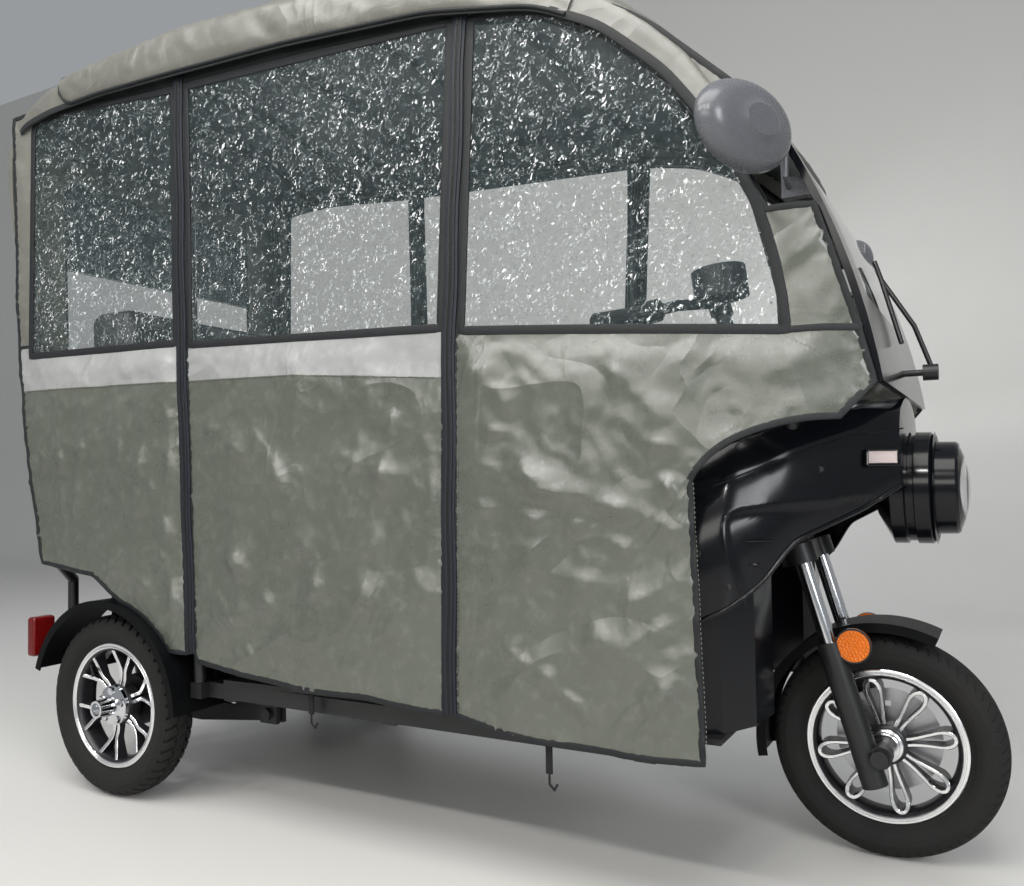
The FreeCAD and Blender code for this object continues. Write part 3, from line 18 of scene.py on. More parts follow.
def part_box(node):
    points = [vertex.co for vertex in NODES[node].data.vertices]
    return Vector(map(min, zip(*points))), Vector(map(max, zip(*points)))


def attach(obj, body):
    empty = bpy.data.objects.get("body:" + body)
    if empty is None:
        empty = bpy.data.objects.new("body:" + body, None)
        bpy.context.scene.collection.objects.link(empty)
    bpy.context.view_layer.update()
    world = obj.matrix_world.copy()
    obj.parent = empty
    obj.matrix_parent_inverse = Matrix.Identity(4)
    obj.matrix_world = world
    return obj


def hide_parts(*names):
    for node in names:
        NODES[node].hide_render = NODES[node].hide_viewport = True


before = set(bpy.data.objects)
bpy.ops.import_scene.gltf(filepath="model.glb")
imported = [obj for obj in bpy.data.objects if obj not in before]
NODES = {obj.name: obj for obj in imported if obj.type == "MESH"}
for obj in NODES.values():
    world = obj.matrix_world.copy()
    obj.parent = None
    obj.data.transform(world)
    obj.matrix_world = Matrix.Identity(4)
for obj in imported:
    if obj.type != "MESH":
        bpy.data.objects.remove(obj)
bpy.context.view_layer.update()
REAR_AXLE, FRONT_AXLE, AXLE_Z = -0.6775, 0.9225, 0.205
SIDES = {"right": -1, "left": 1}

# %% [markdown]
# ## Stations and outlines
# A side outline is a short list of steps in millimetres from one of the axles, as the cover's pattern
# would be. A step is a corner, or the end of an arc with the point that the arc passes through.


# %%
def rear(x, z):
    """A point of the side view from its distance ahead of the rear axle, in millimetres."""
    return (REAR_AXLE + x / 1000, z / 1000)


def front(x, z):
    """The same from the front axle."""
    return (FRONT_AXLE + x / 1000, z / 1000)


def arc(a, b, c, steps=10):
    """Points after a on the circle through a, b and c, up to c."""
    a, b, c = (Vector(p) for p in (a, b, c))
    d = 2 * (a.x * (b.y - c.y) + b.x * (c.y - a.y) + c.x * (a.y - b.y))
    aa, bb, cc = a.length_squared, b.length_squared, c.length_squared
    ux = (aa * (b.y - c.y) + bb * (c.y - a.y) + cc * (a.y - b.y)) / d
    uy = (aa * (c.x - b.x) + bb * (a.x - c.x) + cc * (b.x - a.x)) / d
    turns = [math.atan2(p.y - uy, p.x - ux) for p in (a, b, c)]
    sweep = (turns[2] - turns[0]) % (2 * math.pi)
    if (turns[1] - turns[0]) % (2 * math.pi) > sweep:
        sweep -= 2 * math.pi
    radius = (a - Vector((ux, uy))).length
    made = [turns[0] + sweep * i / steps for i in range(1, steps + 1)]
    return [(ux + radius * math.cos(t), uy + radius * math.sin(t)) for t in made]


def trace(steps):
    """The outline's points: corners as they are, and arcs drawn out."""
    points = []
    for step in steps:
        if len(step) == 4:
            points += arc(points[-1], step[2:], step[:2])
        else:
            points.append(step)
    return points


def spaced(points, gap, closed=True):
    """The same line with a point at least every gap."""
    ring = list(points) + ([points[0]] if closed else [])
    made = []
    for a, b in zip(ring, ring[1:]):
        a, b = Vector(a), Vector(b)
        count = max(1, round((b - a).length / gap))
        made += [tuple(a.lerp(b, i / count)) for i in range(count)]
    return made if closed else made + [tuple(ring[-1])]


def smooth(t):
    """An eased step from 0 to 1."""
    t = np.clip(t, 0, 1)
    return t * t * (3 - 2 * t)


def inside(points, ring):
    """Which points lie inside a closed ring."""
    points, ring = np.asarray(points, float), np.asarray(ring, float)
    hit = np.zeros(len(points), bool)
    for (x0, z0), (x1, z1) in zip(ring, np.roll(ring, -1, 0)):
        if z0 == z1:
            continue
        cross = (points[:, 1] > z0) != (points[:, 1] > z1)
        hit ^= cross & (points[:, 0] < (x1 - x0) * (points[:, 1] - z0) / (z1 - z0) + x0)
    return hit


def nearest(points, line):
    """Distance from each point to a line of points, and the length along it there."""
    points, line = np.asarray(points, float), np.asarray(line, float)
    along = np.concatenate([[0], np.cumsum(np.linalg.norm(np.diff(line, axis=0), axis=1))])
    best, where = np.full(len(points), 1e9), np.zeros(len(points))
    for i in range(len(line) - 1):
        step = line[i + 1] - line[i]
        size = max(step @ step, 1e-12)
        t = np.clip((points - line[i]) @ step / size, 0, 1)
        away = np.linalg.norm(points - line[i] - t[:, None] * step, axis=1)
        closer = away < best
        best[closer] = away[closer]
        where[closer] = along[i] + t[closer] * math.sqrt(size)
    return best, where


def edge_fade(points, ring, width):
    """0 at a closed ring, rising to 1 at a distance from it."""
    return smooth(nearest(points, ring + ring[:1])[0] / width)


COVER_HALF, COVER_FRONT_HALF = 0.455, 0.385  # half widths where it is straight and at its front end
CURVE_START, CURVE_END = FRONT_AXLE - 0.6, FRONT_AXLE + 0.06


def wall_half(x):
    """How far out the cover's wall stands: straight, then curving in towards the windscreen."""
    share = np.clip((np.asarray(x, float) - CURVE_START) / (CURVE_END - CURVE_START), 0, None)
    return COVER_HALF - (COVER_HALF - COVER_FRONT_HALF) * share ** 2


ZIP_HALF = 13  # millimetres; the zips' lines are in millimetres from the rear axle
REAR_ZIP = [(222, 1640), (233, 1017), (261, 345)]
FRONT_ZIP = [(965, 1600), (931, 986), (922, 291)]


def beside(line, offset):
    """A zip's edge: its line moved along the vehicle, in millimetres."""
    return [rear(x + offset, z) for x, z in line]


WINDOWS = {
    "rear": [rear(-305, 1032), rear(-298, 1590), rear(-262, 1622) + rear(-288, 1613), rear(-180, 1626),
             rear(204, 1592), rear(213, 1021)],
    "mid": [rear(257, 1014), rear(247, 1590), rear(940, 1556), rear(911, 990)],
    "front": [rear(955, 981), rear(985, 1549), front(-294, 1420) + front(-440, 1514),
              front(-79, 937) + front(-150, 1216)],
}
PANELS = {
    "rear": [rear(-252, 524), rear(-349, 1030), rear(-368, 1640)] + beside(REAR_ZIP, -ZIP_HALF)
    + [rear(201, 348), rear(54, 446) + rear(136, 411), rear(-53, 503)],
    "mid": beside(REAR_ZIP[::-1], ZIP_HALF) + beside(FRONT_ZIP, -ZIP_HALF)
    + [rear(805, 297), rear(723, 303), rear(560, 303), rear(423, 316), rear(286, 331)],
    "front": beside(FRONT_ZIP[::-1], ZIP_HALF)
    + [front(-590, 1596), front(-440, 1540), front(-262, 1442) + front(-345, 1500), front(-124.3, 1310),
       front(-70, 1207), front(-108, 1205), front(-133, 1178) + front(-126, 1198), front(-103, 1128),
       front(-33, 1126), front(43.7, 852) + front(8, 990), front(-5, 800),
       front(-155, 772) + front(-78, 795), front(-228, 706) + front(-200, 742), front(-216, 262),
       rear(1300, 262), rear(1114, 266), rear(1020, 275)],
}
BAND_LOW = np.array([rear(-340, 945), rear(0, 939), rear(565, 926), rear(900, 900)])
BAND_HIGH = 1.05
BAND_SPAN = {"rear": (-0.3405, 0.2245), "mid": (0.2505, 0.9115)}  # from the rear axle, in metres


def band_low(x):
    """Height of the waist band's lower edge."""
    return np.interp(x, *BAND_LOW.T)


print("panels", {name: len(trace(steps)) for name, steps in PANELS.items()})

# %% [markdown]
# ## Shader sums
# A finish is easier to read as a sum of noises than as a list of links. Value lets a socket take part in
# ordinary Python sums, and Finish adds a node with its settings and inputs in one call.


# %%
class Value:
    """A shader socket that takes part in sums."""

    def __init__(self, finish, socket):
        self.finish, self.socket = finish, socket

    def _sum(self, operation, a, b, clamp=False):
        settings = {"operation": operation, "use_clamp": clamp}
        return self.finish.value("ShaderNodeMath", settings, {0: a, 1: b})

    def __add__(self, other):
        return self._sum("ADD", self, other)

    def __sub__(self, other):
        return self._sum("SUBTRACT", self, other)

    def __rsub__(self, other):
        return self._sum("SUBTRACT", other, self)

    def __mul__(self, other):
        return self._sum("MULTIPLY", self, other)

    def above(self, edge, soft=0.05):
        """0 below the edge and 1 above it, over a soft step."""
        return self._sum("MULTIPLY", self - edge, 1 / soft, True)

    def ridge(self, width):
        """1 where a noise passes its middle, falling to 0 over a width."""
        away = self._sum("ABSOLUTE", self - 0.5, 0)
        return self._sum("SUBTRACT", 1, away * (1 / width), True)

    __radd__, __rmul__ = __add__, __mul__


class Finish:
    """A procedural material whose maps are read in the vehicle's own space."""

    def __init__(self, name, colour, rough, **constants):
        self.material = bpy.data.materials.new(name)
        self.material.use_nodes = True
        self.tree = self.material.node_tree
        self.skin = self.tree.nodes["Principled BSDF"]
        self.place = self.tree.nodes.new("ShaderNodeTexCoord").outputs["Object"]
        for key, value in constants.items():
            self.skin.inputs[key.replace("_", " ")].default_value = value
        self.material.diffuse_color = (*colour, 1)
        self.colour, self.rough, self.height = (*colour, 1), rough, None

    def feed(self, socket, value):
        """Gives a socket a link or a fixed value."""
        value = value.socket if isinstance(value, Value) else value
        if isinstance(value, bpy.types.NodeSocket):
            self.tree.links.new(value, socket)
        else:
            socket.default_value = value

    def node(self, kind, settings, values):
        """Adds a node with its settings and inputs."""
        made = self.tree.nodes.new(kind)
        for key, value in settings.items():
            setattr(made, key, value)
        for key, value in values.items():
            self.feed(made.inputs[key], value)
        return made

    def value(self, kind, settings, values):
        """The first output of an added node, as a Value."""
        return Value(self, self.node(kind, settings, values).outputs[0])

    def stretched(self, x=1, y=1, z=1, turn=0.0):
        """The place with its axes scaled, after a turn round Y in the side view."""
        settings = {"Vector": self.place, "Rotation": (0, turn, 0)}
        turned = self.node("ShaderNodeMapping", {}, settings).outputs[0]
        return self.node("ShaderNodeMapping", {}, {"Vector": turned, "Scale": (x, y, z)}).outputs[0]

    def noise(self, scale, detail=3, rough=0.55, twist=0, place=None):
        """Cloudy noise, in the vehicle's space or in a stretched one."""
        values = {"Vector": place or self.place, "Scale": scale, "Detail": detail, "Roughness": rough,
                  "Distortion": twist}
        return self.value("ShaderNodeTexNoise", {}, values)

    def cells(self, scale):
        """A grain of small cells."""
        return self.value("ShaderNodeTexVoronoi", {}, {"Vector": self.place, "Scale": scale})

    def bands(self, scale, direction):
        """Fine parallel bands across an axis."""
        values = {"Vector": self.place, "Scale": scale, "Detail": 1}
        return self.value("ShaderNodeTexWave", {"bands_direction": direction}, values)

    def tint(self, share, other):
        """Mixes another colour over the finish by a share."""
        values = {0: share, 6: self.colour, 7: (*other, 1)}
        mixed = self.node("ShaderNodeMix", {"data_type": "RGBA", "clamp_factor": True}, values)
        self.colour = mixed.outputs[2]
        return self

    def bump(self, height, strength, depth):
        """Adds relief over the relief that is there."""
        values = {"Height": height, "Strength": strength, "Distance": depth}
        if self.height:
            values["Normal"] = self.height
        self.height = self.node("ShaderNodeBump", {}, values).outputs[0]
        return self

    def done(self):
        """Links what was gathered and gives back the material."""
        self.feed(self.skin.inputs["Base Color"], self.colour)
        self.feed(self.skin.inputs["Roughness"], self.rough)
        if self.height:
            self.feed(self.skin.inputs["Normal"], self.height)
        return self.material


# %% [markdown]
# ## Cloth, tape and film
# The cover is polyester with a thin plastic coat: satin, with soft broad glints, a fine weave, and a faint
# mottling where the coat has been folded. The binding is a ribbed woven tape. The windows are clear vinyl
# that has been rolled up for a long time, so a net of creases shows white specks, painted in as highlights.


# %%
def cloth(name, colour, dusty, rough, wear):
    """Coated cloth with a weave, a mottled coat and paler wear."""
    made = Finish(name, colour, rough, Specular_IOR_Level=1.0, Sheen_Weight=0.03, Sheen_Roughness=0.5)
    broad = made.noise(2.6, 3, 0.55, 0.3)
    fine = made.noise(46, 5, 0.65)
    made.tint(broad.above(0.42, 0.3) * 0.35, dusty)
    made.tint((fine - 0.52) * 0.9, wear)
    made.rough = rough + (fine - 0.5) * 0.12 + (broad - 0.5) * 0.1
    weave = made.bands(420, "X") + made.bands(420, "Z")
    made.bump(weave, 0.1, 0.0004)
    folds = made.noise(1.9, 2, 0.4, 0.6, made.stretched(1, 1, 1.9, 0.6)).ridge(0.11)
    small = made.noise(5.5, 3, 0.45, 0.8, made.stretched(1.6, 1, 0.8, -0.5)).ridge(0.1)
    patch = made.noise(2.4, 2).above(0.46, 0.16)
    made.bump(folds, 0.7, 0.009)
    made.bump(small * patch, 0.5, 0.0036)
    made.bump(made.noise(21, 4, 0.55, 0.6), 0.16, 0.0016)
    return made.done()


def ribbed(name, colour, rough=0.6, pitch=260):
    """Black woven tape with fine ribs across it."""
    made = Finish(name, colour, rough, Specular_IOR_Level=0.35, Sheen_Weight=0.03, Sheen_Roughness=0.4)
    grain = made.noise(120, 3)
    made.tint(grain.above(0.52, 0.3) * 0.4, tuple(c * 1.8 + 0.004 for c in colour))
    made.rough = rough + (grain - 0.5) * 0.2
    made.bump(made.bands(pitch, "Z") + made.bands(pitch, "X"), 0.35, 0.0005)
    return made.done()


def film(name, haze, specks):
    """Clear vinyl: creases in bump, and painted highlights, white specks in its colour and alpha where the
    creases would catch the light.
    """
    made = Finish(name, (0.3, 0.4, 0.42), 0.08, IOR=1.45, Specular_IOR_Level=0.6)
    net = made.noise(30, 6, 0.62, 1.6, made.stretched(1, 1, 1.3, 0.6))
    small = made.noise(78, 4, 0.7, 2.2, made.stretched(1.5, 1, 0.8, -0.4))
    field = made.noise(3.4, 2, 0.5)
    sparks = small.above(0.6, 0.02) * net.above(0.5, 0.06)
    # Painted highlights: white specks put into the colour and the alpha where the creases would catch the
    # light
    painted_glint = sparks * (0.7 + field * 0.9) + net.ridge(0.018) * small.above(0.5, 0.1) * field * 1.1
    made.tint(painted_glint, (0.97, 0.98, 0.98))
    made.rough = 0.07 + small * 0.1
    made.bump(net, 0.55, 0.004).bump(small, 0.35, 0.0016)
    made.feed(made.skin.inputs["Alpha"], haze + painted_glint * specks)
    return made.done()


COVER = cloth("cover_coated_cloth", (0.07, 0.077, 0.059), (0.098, 0.106, 0.083), 0.29, (0.23, 0.24, 0.205))
ROOF = cloth("roof_coated_cloth", (0.115, 0.114, 0.097), (0.15, 0.147, 0.122), 0.38, (0.3, 0.29, 0.25))
WAIST = cloth("waist_band_cloth", (0.25, 0.254, 0.254), (0.3, 0.3, 0.29), 0.42, (0.5, 0.5, 0.48))
# The roof's lining is painted near black with teal patches: painted shade of the cab's inside, seen through
# the windows
PAINTED_SHADE_LINING = cloth("roof_lining_painted_shade", (0.008, 0.014, 0.015), (0.008, 0.04, 0.045), 0.5, (0.03, 0.06, 0.06))
TAPE = ribbed("binding_tape", (0.0065, 0.0075, 0.009), 0.5)
WEBBING = ribbed("strap_webbing", (0.006, 0.0065, 0.007), 0.7, 180)
ZIP_TAPE = ribbed("zip_tape", (0.005, 0.008, 0.013), 0.4, 340)
FILM = film("window_film", 0.035, 0.9)
print("cloths", [m.name for m in (COVER, ROOF, WAIST, PAINTED_SHADE_LINING, TAPE, WEBBING, ZIP_TAPE, FILM)])

# %% [markdown]
# ## Metal, paint, rubber and glass
# Gloss panels are moulded black plastic with a thin clear skin: deep, with fine swirl scratches and a
# little dust. Frame parts are satin paint. Wheel faces are turned bright and lacquered, and the paint
# stays in their openings. Rubber is dull and slightly brown where it has run.


# %%
def gloss(name, colour, rough=0.12, shine=0.24):
    """Moulded black plastic with fine scratches and dust."""
    made = Finish(name, colour, rough, Coat_Weight=shine / 3, Coat_Roughness=0.08, Specular_IOR_Level=shine)
    dust = made.noise(9, 5, 0.6, 0.3)
    scratch = made.noise(60, 2, 0.5, 0, made.stretched(1, 1, 9, 0.4))
    made.tint(dust.above(0.6, 0.4) * 0.15, (0.03, 0.031, 0.031))
    made.rough = rough + scratch.above(0.6, 0.2) * 0.12 + dust * 0.08
    made.bump(made.noise(14, 2), 0.08, 0.002)
    return made.done()


def satin(name, colour, rough, grain=0.2, metallic=0.0, dust=(0.09, 0.088, 0.08)):
    """Sprayed or moulded satin black with a fine grain, dusty here and there."""
    made = Finish(name, colour, rough, Metallic=metallic)
    fine, broad = made.noise(320, 3, 0.6), made.noise(7, 4, 0.6)
    made.tint(broad.above(0.5, 0.45) * 0.35, dust)
    made.rough = rough + (fine - 0.5) * 0.25 + (broad - 0.5) * 0.15
    made.bump(fine, grain, 0.0005)
    return made.done()


def metal(name, colour, rough, brushed=0.0):
    """Bare, turned or plated metal with light wear."""
    made = Finish(name, colour, rough, Metallic=1.0)
    wear, fine = made.noise(24, 4, 0.6), made.noise(240, 2)
    made.tint(wear.above(0.56, 0.35) * 0.35, tuple(c * 0.62 for c in colour))
    made.rough = rough + wear * 0.12 + (fine - 0.5) * 0.06
    if brushed:
        made.bump(made.noise(90, 3, 0.6, 0, made.stretched(1, 8, 1)), brushed, 0.0006)
    return made.done()


def rubber(name, colour, rough=0.82):
    """Dull rubber, a little brown where it has run."""
    made = Finish(name, colour, rough, Specular_IOR_Level=0.3)
    broad, fine = made.noise(11, 5, 0.6), made.noise(210, 3, 0.6)
    made.tint(broad.above(0.5, 0.4) * 0.4, (0.03, 0.028, 0.025))
    made.rough = rough + (broad - 0.5) * 0.25
    made.bump(fine, 0.3, 0.0006)
    return made.done()


def clear(name, colour, rough=0.03, cloud=0.0, weight=1.0):
    """Moulded lamp plastic or glass."""
    made = Finish(name, colour, rough, IOR=1.46, Transmission_Weight=weight)
    dust = made.noise(16, 4, 0.6)
    made.rough = rough + dust.above(0.55, 0.4) * (0.05 + cloud)
    made.bump(made.noise(22, 2), 0.05, 0.001)
    return made.done()


BLACK_GLOSS = gloss("black_gloss_plastic", (0.004, 0.0045, 0.006))
BLACK_GUARD = gloss("black_guard_plastic", (0.003, 0.0033, 0.0038), 0.42, 0.08)
BLACK_PAINT = satin("black_frame_paint", (0.007, 0.0075, 0.008), 0.42, dust=(0.035, 0.034, 0.031))
BLACK_PLASTIC = satin("black_grained_plastic", (0.009, 0.0095, 0.01), 0.55, 0.4, dust=(0.03, 0.03, 0.028))
RIM_BLACK = satin("rim_black_paint", (0.012, 0.012, 0.014), 0.34)
MIRROR_SHELL = satin("mirror_shell_plastic", (0.1, 0.103, 0.115), 0.26, 0.12, 0.0, (0.17, 0.17, 0.18))
MACHINED = metal("turned_alloy", (0.82, 0.82, 0.83), 0.16, 0.12)
CHROME = metal("chrome_plate", (0.72, 0.73, 0.75), 0.07)
STEEL = metal("brushed_steel", (0.5, 0.5, 0.52), 0.3, 0.3)
TYRE = rubber("tyre_rubber", (0.011, 0.0108, 0.0105))
GRIP = rubber("grip_rubber", (0.009, 0.009, 0.009), 0.7)
MIRROR_GLASS = metal("silvered_glass", (0.85, 0.86, 0.88), 0.02)
LAMP_CLEAR = clear("clear_lamp_glass", (0.96, 0.97, 0.98))
SCREEN = clear("laminated_screen", (0.72, 0.8, 0.8), 0.02)
SIGNAL_CLEAR = clear("signal_lens", (0.95, 0.8, 0.78), 0.12, 0.1, 0.35)
AMBER = clear("amber_lens", (0.9, 0.2, 0.005), 0.2, 0.1, 0.25)
RED = clear("red_lens", (0.2, 0.006, 0.006), 0.12, 0.1, 0.5)
THREAD = ribbed("stitch_thread", (0.2, 0.2, 0.18), 0.7, 600)
SEAT = Finish("seat_vinyl", (0.02, 0.02, 0.022), 0.45)
SEAT.tint(SEAT.noise(13, 4).above(0.5, 0.4) * 0.4, (0.05, 0.05, 0.05))
SEAT.rough = 0.4 + SEAT.noise(45) * 0.2
SEAT = SEAT.bump(SEAT.cells(340), 0.35, 0.0007).done()
print("finishes", len(bpy.data.materials))

# %% [markdown]
# ## Mesh and node-group helpers
# A piece is made as points and faces, or grown along a path by a node group. The groups take a path that
# carries the outward direction of its surface, so a tape lies flat and a screw stands up. What a group
# made is kept as a plain mesh.


# %%
def placed(name, data):
    """A new object of the scene."""
    made = bpy.data.objects.new(name, data)
    bpy.context.scene.collection.objects.link(made)
    return made


def meshed_object(name, verts, faces, edges=()):
    """A new object with a mesh of points and faces."""
    mesh = bpy.data.meshes.new(name)
    mesh.from_pydata([tuple(v) for v in verts], list(edges), faces)
    return placed(name, mesh)


def applied(made):
    """Keeps what an object's modifiers made as its plain mesh."""
    graph = bpy.context.evaluated_depsgraph_get()
    mesh = bpy.data.meshes.new_from_object(made.evaluated_get(graph), depsgraph=graph)
    made.modifiers.clear()
    made.data = mesh


def piece(name, verts, faces, finishes, body="vehicle", sharp=40, picks=None, outward=True):
    """A mesh piece, smooth except at its sharp edges, riding a body. Its finishes are one or a list, and
    picks say which of them each face has."""
    made = meshed_object(name, verts, faces)
    for finish in finishes if isinstance(finishes, (list, tuple)) else [finishes]:
        made.data.materials.append(finish)
    if picks is not None:
        made.data.polygons.foreach_set("material_index", picks)
    soften(made.data, sharp, outward)
    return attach(made, body)


def declared(made, slot, node=None):
    """Hides the frame's node that a piece stands for, if one is given, and gives the piece back. The slot is
    not used.
    """
    if node:
        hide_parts(node)
    return made


def soften(mesh, sharp=40, outward=True):
    """Smooth shading, with edges over the sharp angle kept and faces turned outward."""
    work = bmesh.new()
    work.from_mesh(mesh)
    if outward:
        bmesh.ops.recalc_face_normals(work, faces=work.faces)
    limit = math.radians(sharp)
    for face in work.faces:
        face.smooth = True
    for edge in work.edges:
        edge.smooth = len(edge.link_faces) == 2 and edge.calc_face_angle(0) < limit
    work.to_mesh(mesh)
    work.free()


def group(name, inputs):
    """An empty node group, with a function that adds a node to it and one that closes it."""
    made = bpy.data.node_groups.new(name, "GeometryNodeTree")
    for label, kind in [("Geometry", "Geometry")] + inputs + [("Finish", "Material")]:
        made.interface.new_socket(name=label, in_out="INPUT", socket_type="NodeSocket" + kind)
    made.interface.new_socket(name="Geometry", in_out="OUTPUT", socket_type="NodeSocketGeometry")
    given, out = made.nodes.new("NodeGroupInput").outputs, made.nodes.new("NodeGroupOutput").inputs

    def add(kind, values=None, **settings):
        """A node with its settings, then its values or links; the first output comes back."""
        node = made.nodes.new(kind)
        for key, value in settings.items():
            setattr(node, key, value)
        for key, value in (values or {}).items():
            if isinstance(value, bpy.types.NodeSocket):
                made.links.new(value, node.inputs[key])
            else:
                node.inputs[key].default_value = value
        return node.outputs[0]

    def close(geometry):
        """Joins up what was made and gives it the finish."""
        geometry = add("GeometryNodeRealizeInstances", {"Geometry": geometry})
        geometry = add("GeometryNodeSetMaterial", {"Geometry": geometry, "Material": given["Finish"]})
        made.links.new(geometry, out[0])
        return made

    return given, add, close


def path_vector(add, name):
    """A direction that the path carries."""
    return add("GeometryNodeInputNamedAttribute", {"Name": name}, data_type="FLOAT_VECTOR")


def tape_group():
    """A flat band with rounded edges along a path."""
    given, add, close = group("tape", [("Width", "Float"), ("Thick", "Float")])
    outward = path_vector(add, "outward")
    line = add("GeometryNodeMeshToCurve", {"Mesh": given["Geometry"]})
    line = add("GeometryNodeSetCurveNormal", {"Curve": line, "Normal": outward}, mode="FREE")
    section = add("GeometryNodeCurvePrimitiveQuadrilateral",
                  {"Width": given["Thick"], "Height": given["Width"]})
    round_r = add("ShaderNodeMath", {0: given["Thick"], 1: 0.45}, operation="MULTIPLY")
    section = add("GeometryNodeFilletCurve", {"Curve": section, "Count": 2, "Radius": round_r}, mode="POLY")
    return close(add("GeometryNodeCurveToMesh", {"Curve": line, "Profile Curve": section, "Fill Caps": True}))


def row_group():
    """Copies of an object at even steps along a path, each standing out and aimed along it."""
    given, add, close = group("row", [("Step", "Float"), ("Shape", "Object")])
    line = add("GeometryNodeMeshToCurve", {"Mesh": given["Geometry"]})
    line = add("GeometryNodeResampleCurve", {"Curve": line, "Length": given["Step"]}, mode="LENGTH")
    return close(stood(add, given, line, add("GeometryNodeInputTangent")))


def spot_group():
    """Copies of an object at single points, each standing out and aimed."""
    given, add, close = group("spots", [("Shape", "Object")])
    return close(stood(add, given, given["Geometry"], path_vector(add, "aim")))


def stood(add, given, points, aim):
    """The given shape on each point, its Z outward and its X along the aim."""
    turn = add("FunctionNodeAlignRotationToVector", {"Vector": aim}, axis="X")
    turn = add("FunctionNodeAlignRotationToVector", {"Rotation": turn, "Vector": path_vector(add, "outward")},
               axis="Z", pivot_axis="X")
    form = add("GeometryNodeObjectInfo", {"Object": given["Shape"]}).node.outputs["Geometry"]
    return add("GeometryNodeInstanceOnPoints", {"Points": points, "Instance": form, "Rotation": turn})


TAPE_GROUP, ROW_GROUP, SPOT_GROUP = tape_group(), row_group(), spot_group()


def grow(name, nodes, paths, body="vehicle", **inputs):
    """Runs a node group over paths of (place, outward) and keeps what it made as one plain mesh. A path
    that closes on itself is given as (True, path)."""
    verts, edges, out, aims = [], [], [], []
    for path in paths:
        closed, path = (path[0], path[1]) if isinstance(path[0], bool) else (False, path)
        first = len(verts)
        for step in path:
            verts.append(tuple(step[0]))
            out.append(tuple(step[1]))
            aims.append(tuple(step[2]) if len(step) > 2 else (1, 0, 0))
        if nodes != SPOT_GROUP:
            edges += [(first + i, first + i + 1) for i in range(len(path) - 1)]
            if closed:
                edges.append((len(verts) - 1, first))
    made = meshed_object(name, verts, [], edges)
    for label, values in (("outward", out), ("aim", aims)):
        stored = made.data.attributes.new(label, "FLOAT_VECTOR", "POINT")
        stored.data.foreach_set("vector", np.ravel(values))
    modifier = made.modifiers.new("grow", "NODES")
    modifier.node_group = nodes
    for item in nodes.interface.items_tree:
        if item.in_out == "INPUT" and item.name in inputs:
            modifier[item.identifier] = inputs[item.name]
    applied(made)
    for label in ("outward", "aim"):
        if label in made.data.attributes:
            made.data.attributes.remove(made.data.attributes[label])
    soften(made.data)
    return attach(made, body)


def tape(name, paths, width, thick, finish, slot="black_webbing", node=None):
    """A flat band along paths; the frame's node that it stands for, if one is given, is hidden."""
    return declared(grow(name, TAPE_GROUP, paths, Width=width, Thick=thick, Finish=finish), slot, node)


def studs(name, spots, form, finish, slot, body="vehicle"):
    """A form on each of the spots."""
    return declared(grow(name, SPOT_GROUP, [spots], body, Shape=form, Finish=finish), slot)


def turns_of(count):
    """Even steps round a circle."""
    return [2 * math.pi * i / count for i in range(count)]


def ring(radius, z, count=16):
    """Points round a circle at a height."""
    return [(radius * math.cos(t), radius * math.sin(t), z) for t in turns_of(count)]


def loft(rings, closed_ring=True, closed_row=False):
    """Points and faces of a skin through rings of equal length."""
    rings = [list(r) for r in rings]
    n, m = len(rings[0]), len(rings)
    verts = [tuple(v) for r in rings for v in r]
    faces = []
    for r in range(m if closed_row else m - 1):
        for i in range(n if closed_ring else n - 1):
            a, b = r * n + i, r * n + (i + 1) % n
            c, d = ((r + 1) % m) * n + (i + 1) % n, ((r + 1) % m) * n + i
            faces.append((a, b, c, d))
    return verts, faces


def capped(rings):
    """Points and faces of a bar through rings, closed at both ends."""
    verts, faces = loft(rings)
    n = len(rings[0])
    return verts, faces + [tuple(range(n))[::-1], tuple(len(verts) - n + i for i in range(n))]


def shape(name, rings):
    """A small form that a group copies: rings of points, closed at both ends."""
    made = meshed_object(name, *capped(rings))
    soften(made.data)
    return made


SCREW = shape("screw_shape", [ring(0.0001, -0.002), ring(0.0055, -0.002), ring(0.0055, 0.0012),
                              ring(0.0042, 0.0026), ring(0.0026, 0.0028), ring(0.0022, 0.0012),
                              ring(0.0001, 0.0011)])
NUT = shape("nut_shape", [ring(r, z, 6) for r, z in ((0.0001, -0.003), (0.0095, -0.003), (0.0095, 0.006),
                                                     (0.0075, 0.0085), (0.0001, 0.0085))])
STITCH = shape("stitch_shape", [[(x, 0.00055 * k * math.cos(t), 0.0005 * k * math.sin(t) + 0.0003)
                                 for t in (0, 1.26, 2.51, 3.77, 5.03)]
                                for x, k in ((-0.0022, 0.3), (-0.0014, 1), (0.0014, 1), (0.0022, 0.3))])
TOOTH_SECTION = ((-1, 0), (1, 0), (0.8, 0.0018), (-0.8, 0.0018))
TOOTH = shape("tooth_shape", [[(x * 0.0011, y, z) for x, z in TOOTH_SECTION] for y in (-0.0042, 0.0042)])
PRISM = shape("prism_shape", [ring(0.0030, 0.0, 6), ring(0.0022, 0.0005, 6), ring(0.0004, 0.0010, 6)])
SHAPES = [SCREW, NUT, STITCH, TOOTH, PRISM]
print("groups", [g.name for g in bpy.data.node_groups])

# %% [markdown]
# ## The cover's cloth walls
# Each wall is three cloth panels that zip together. On the real thing the cloth is cut flat, bound with tape
# and hung from the roof, so it shows soft vertical swells, sharper creases from folding, and gathers where
# the thread of a seam has drawn it up. A panel is meshed inside its outline, then every point is lifted off
# the wall by all of these. Near a zip or a window the lift dies away, so that the pieces meet.

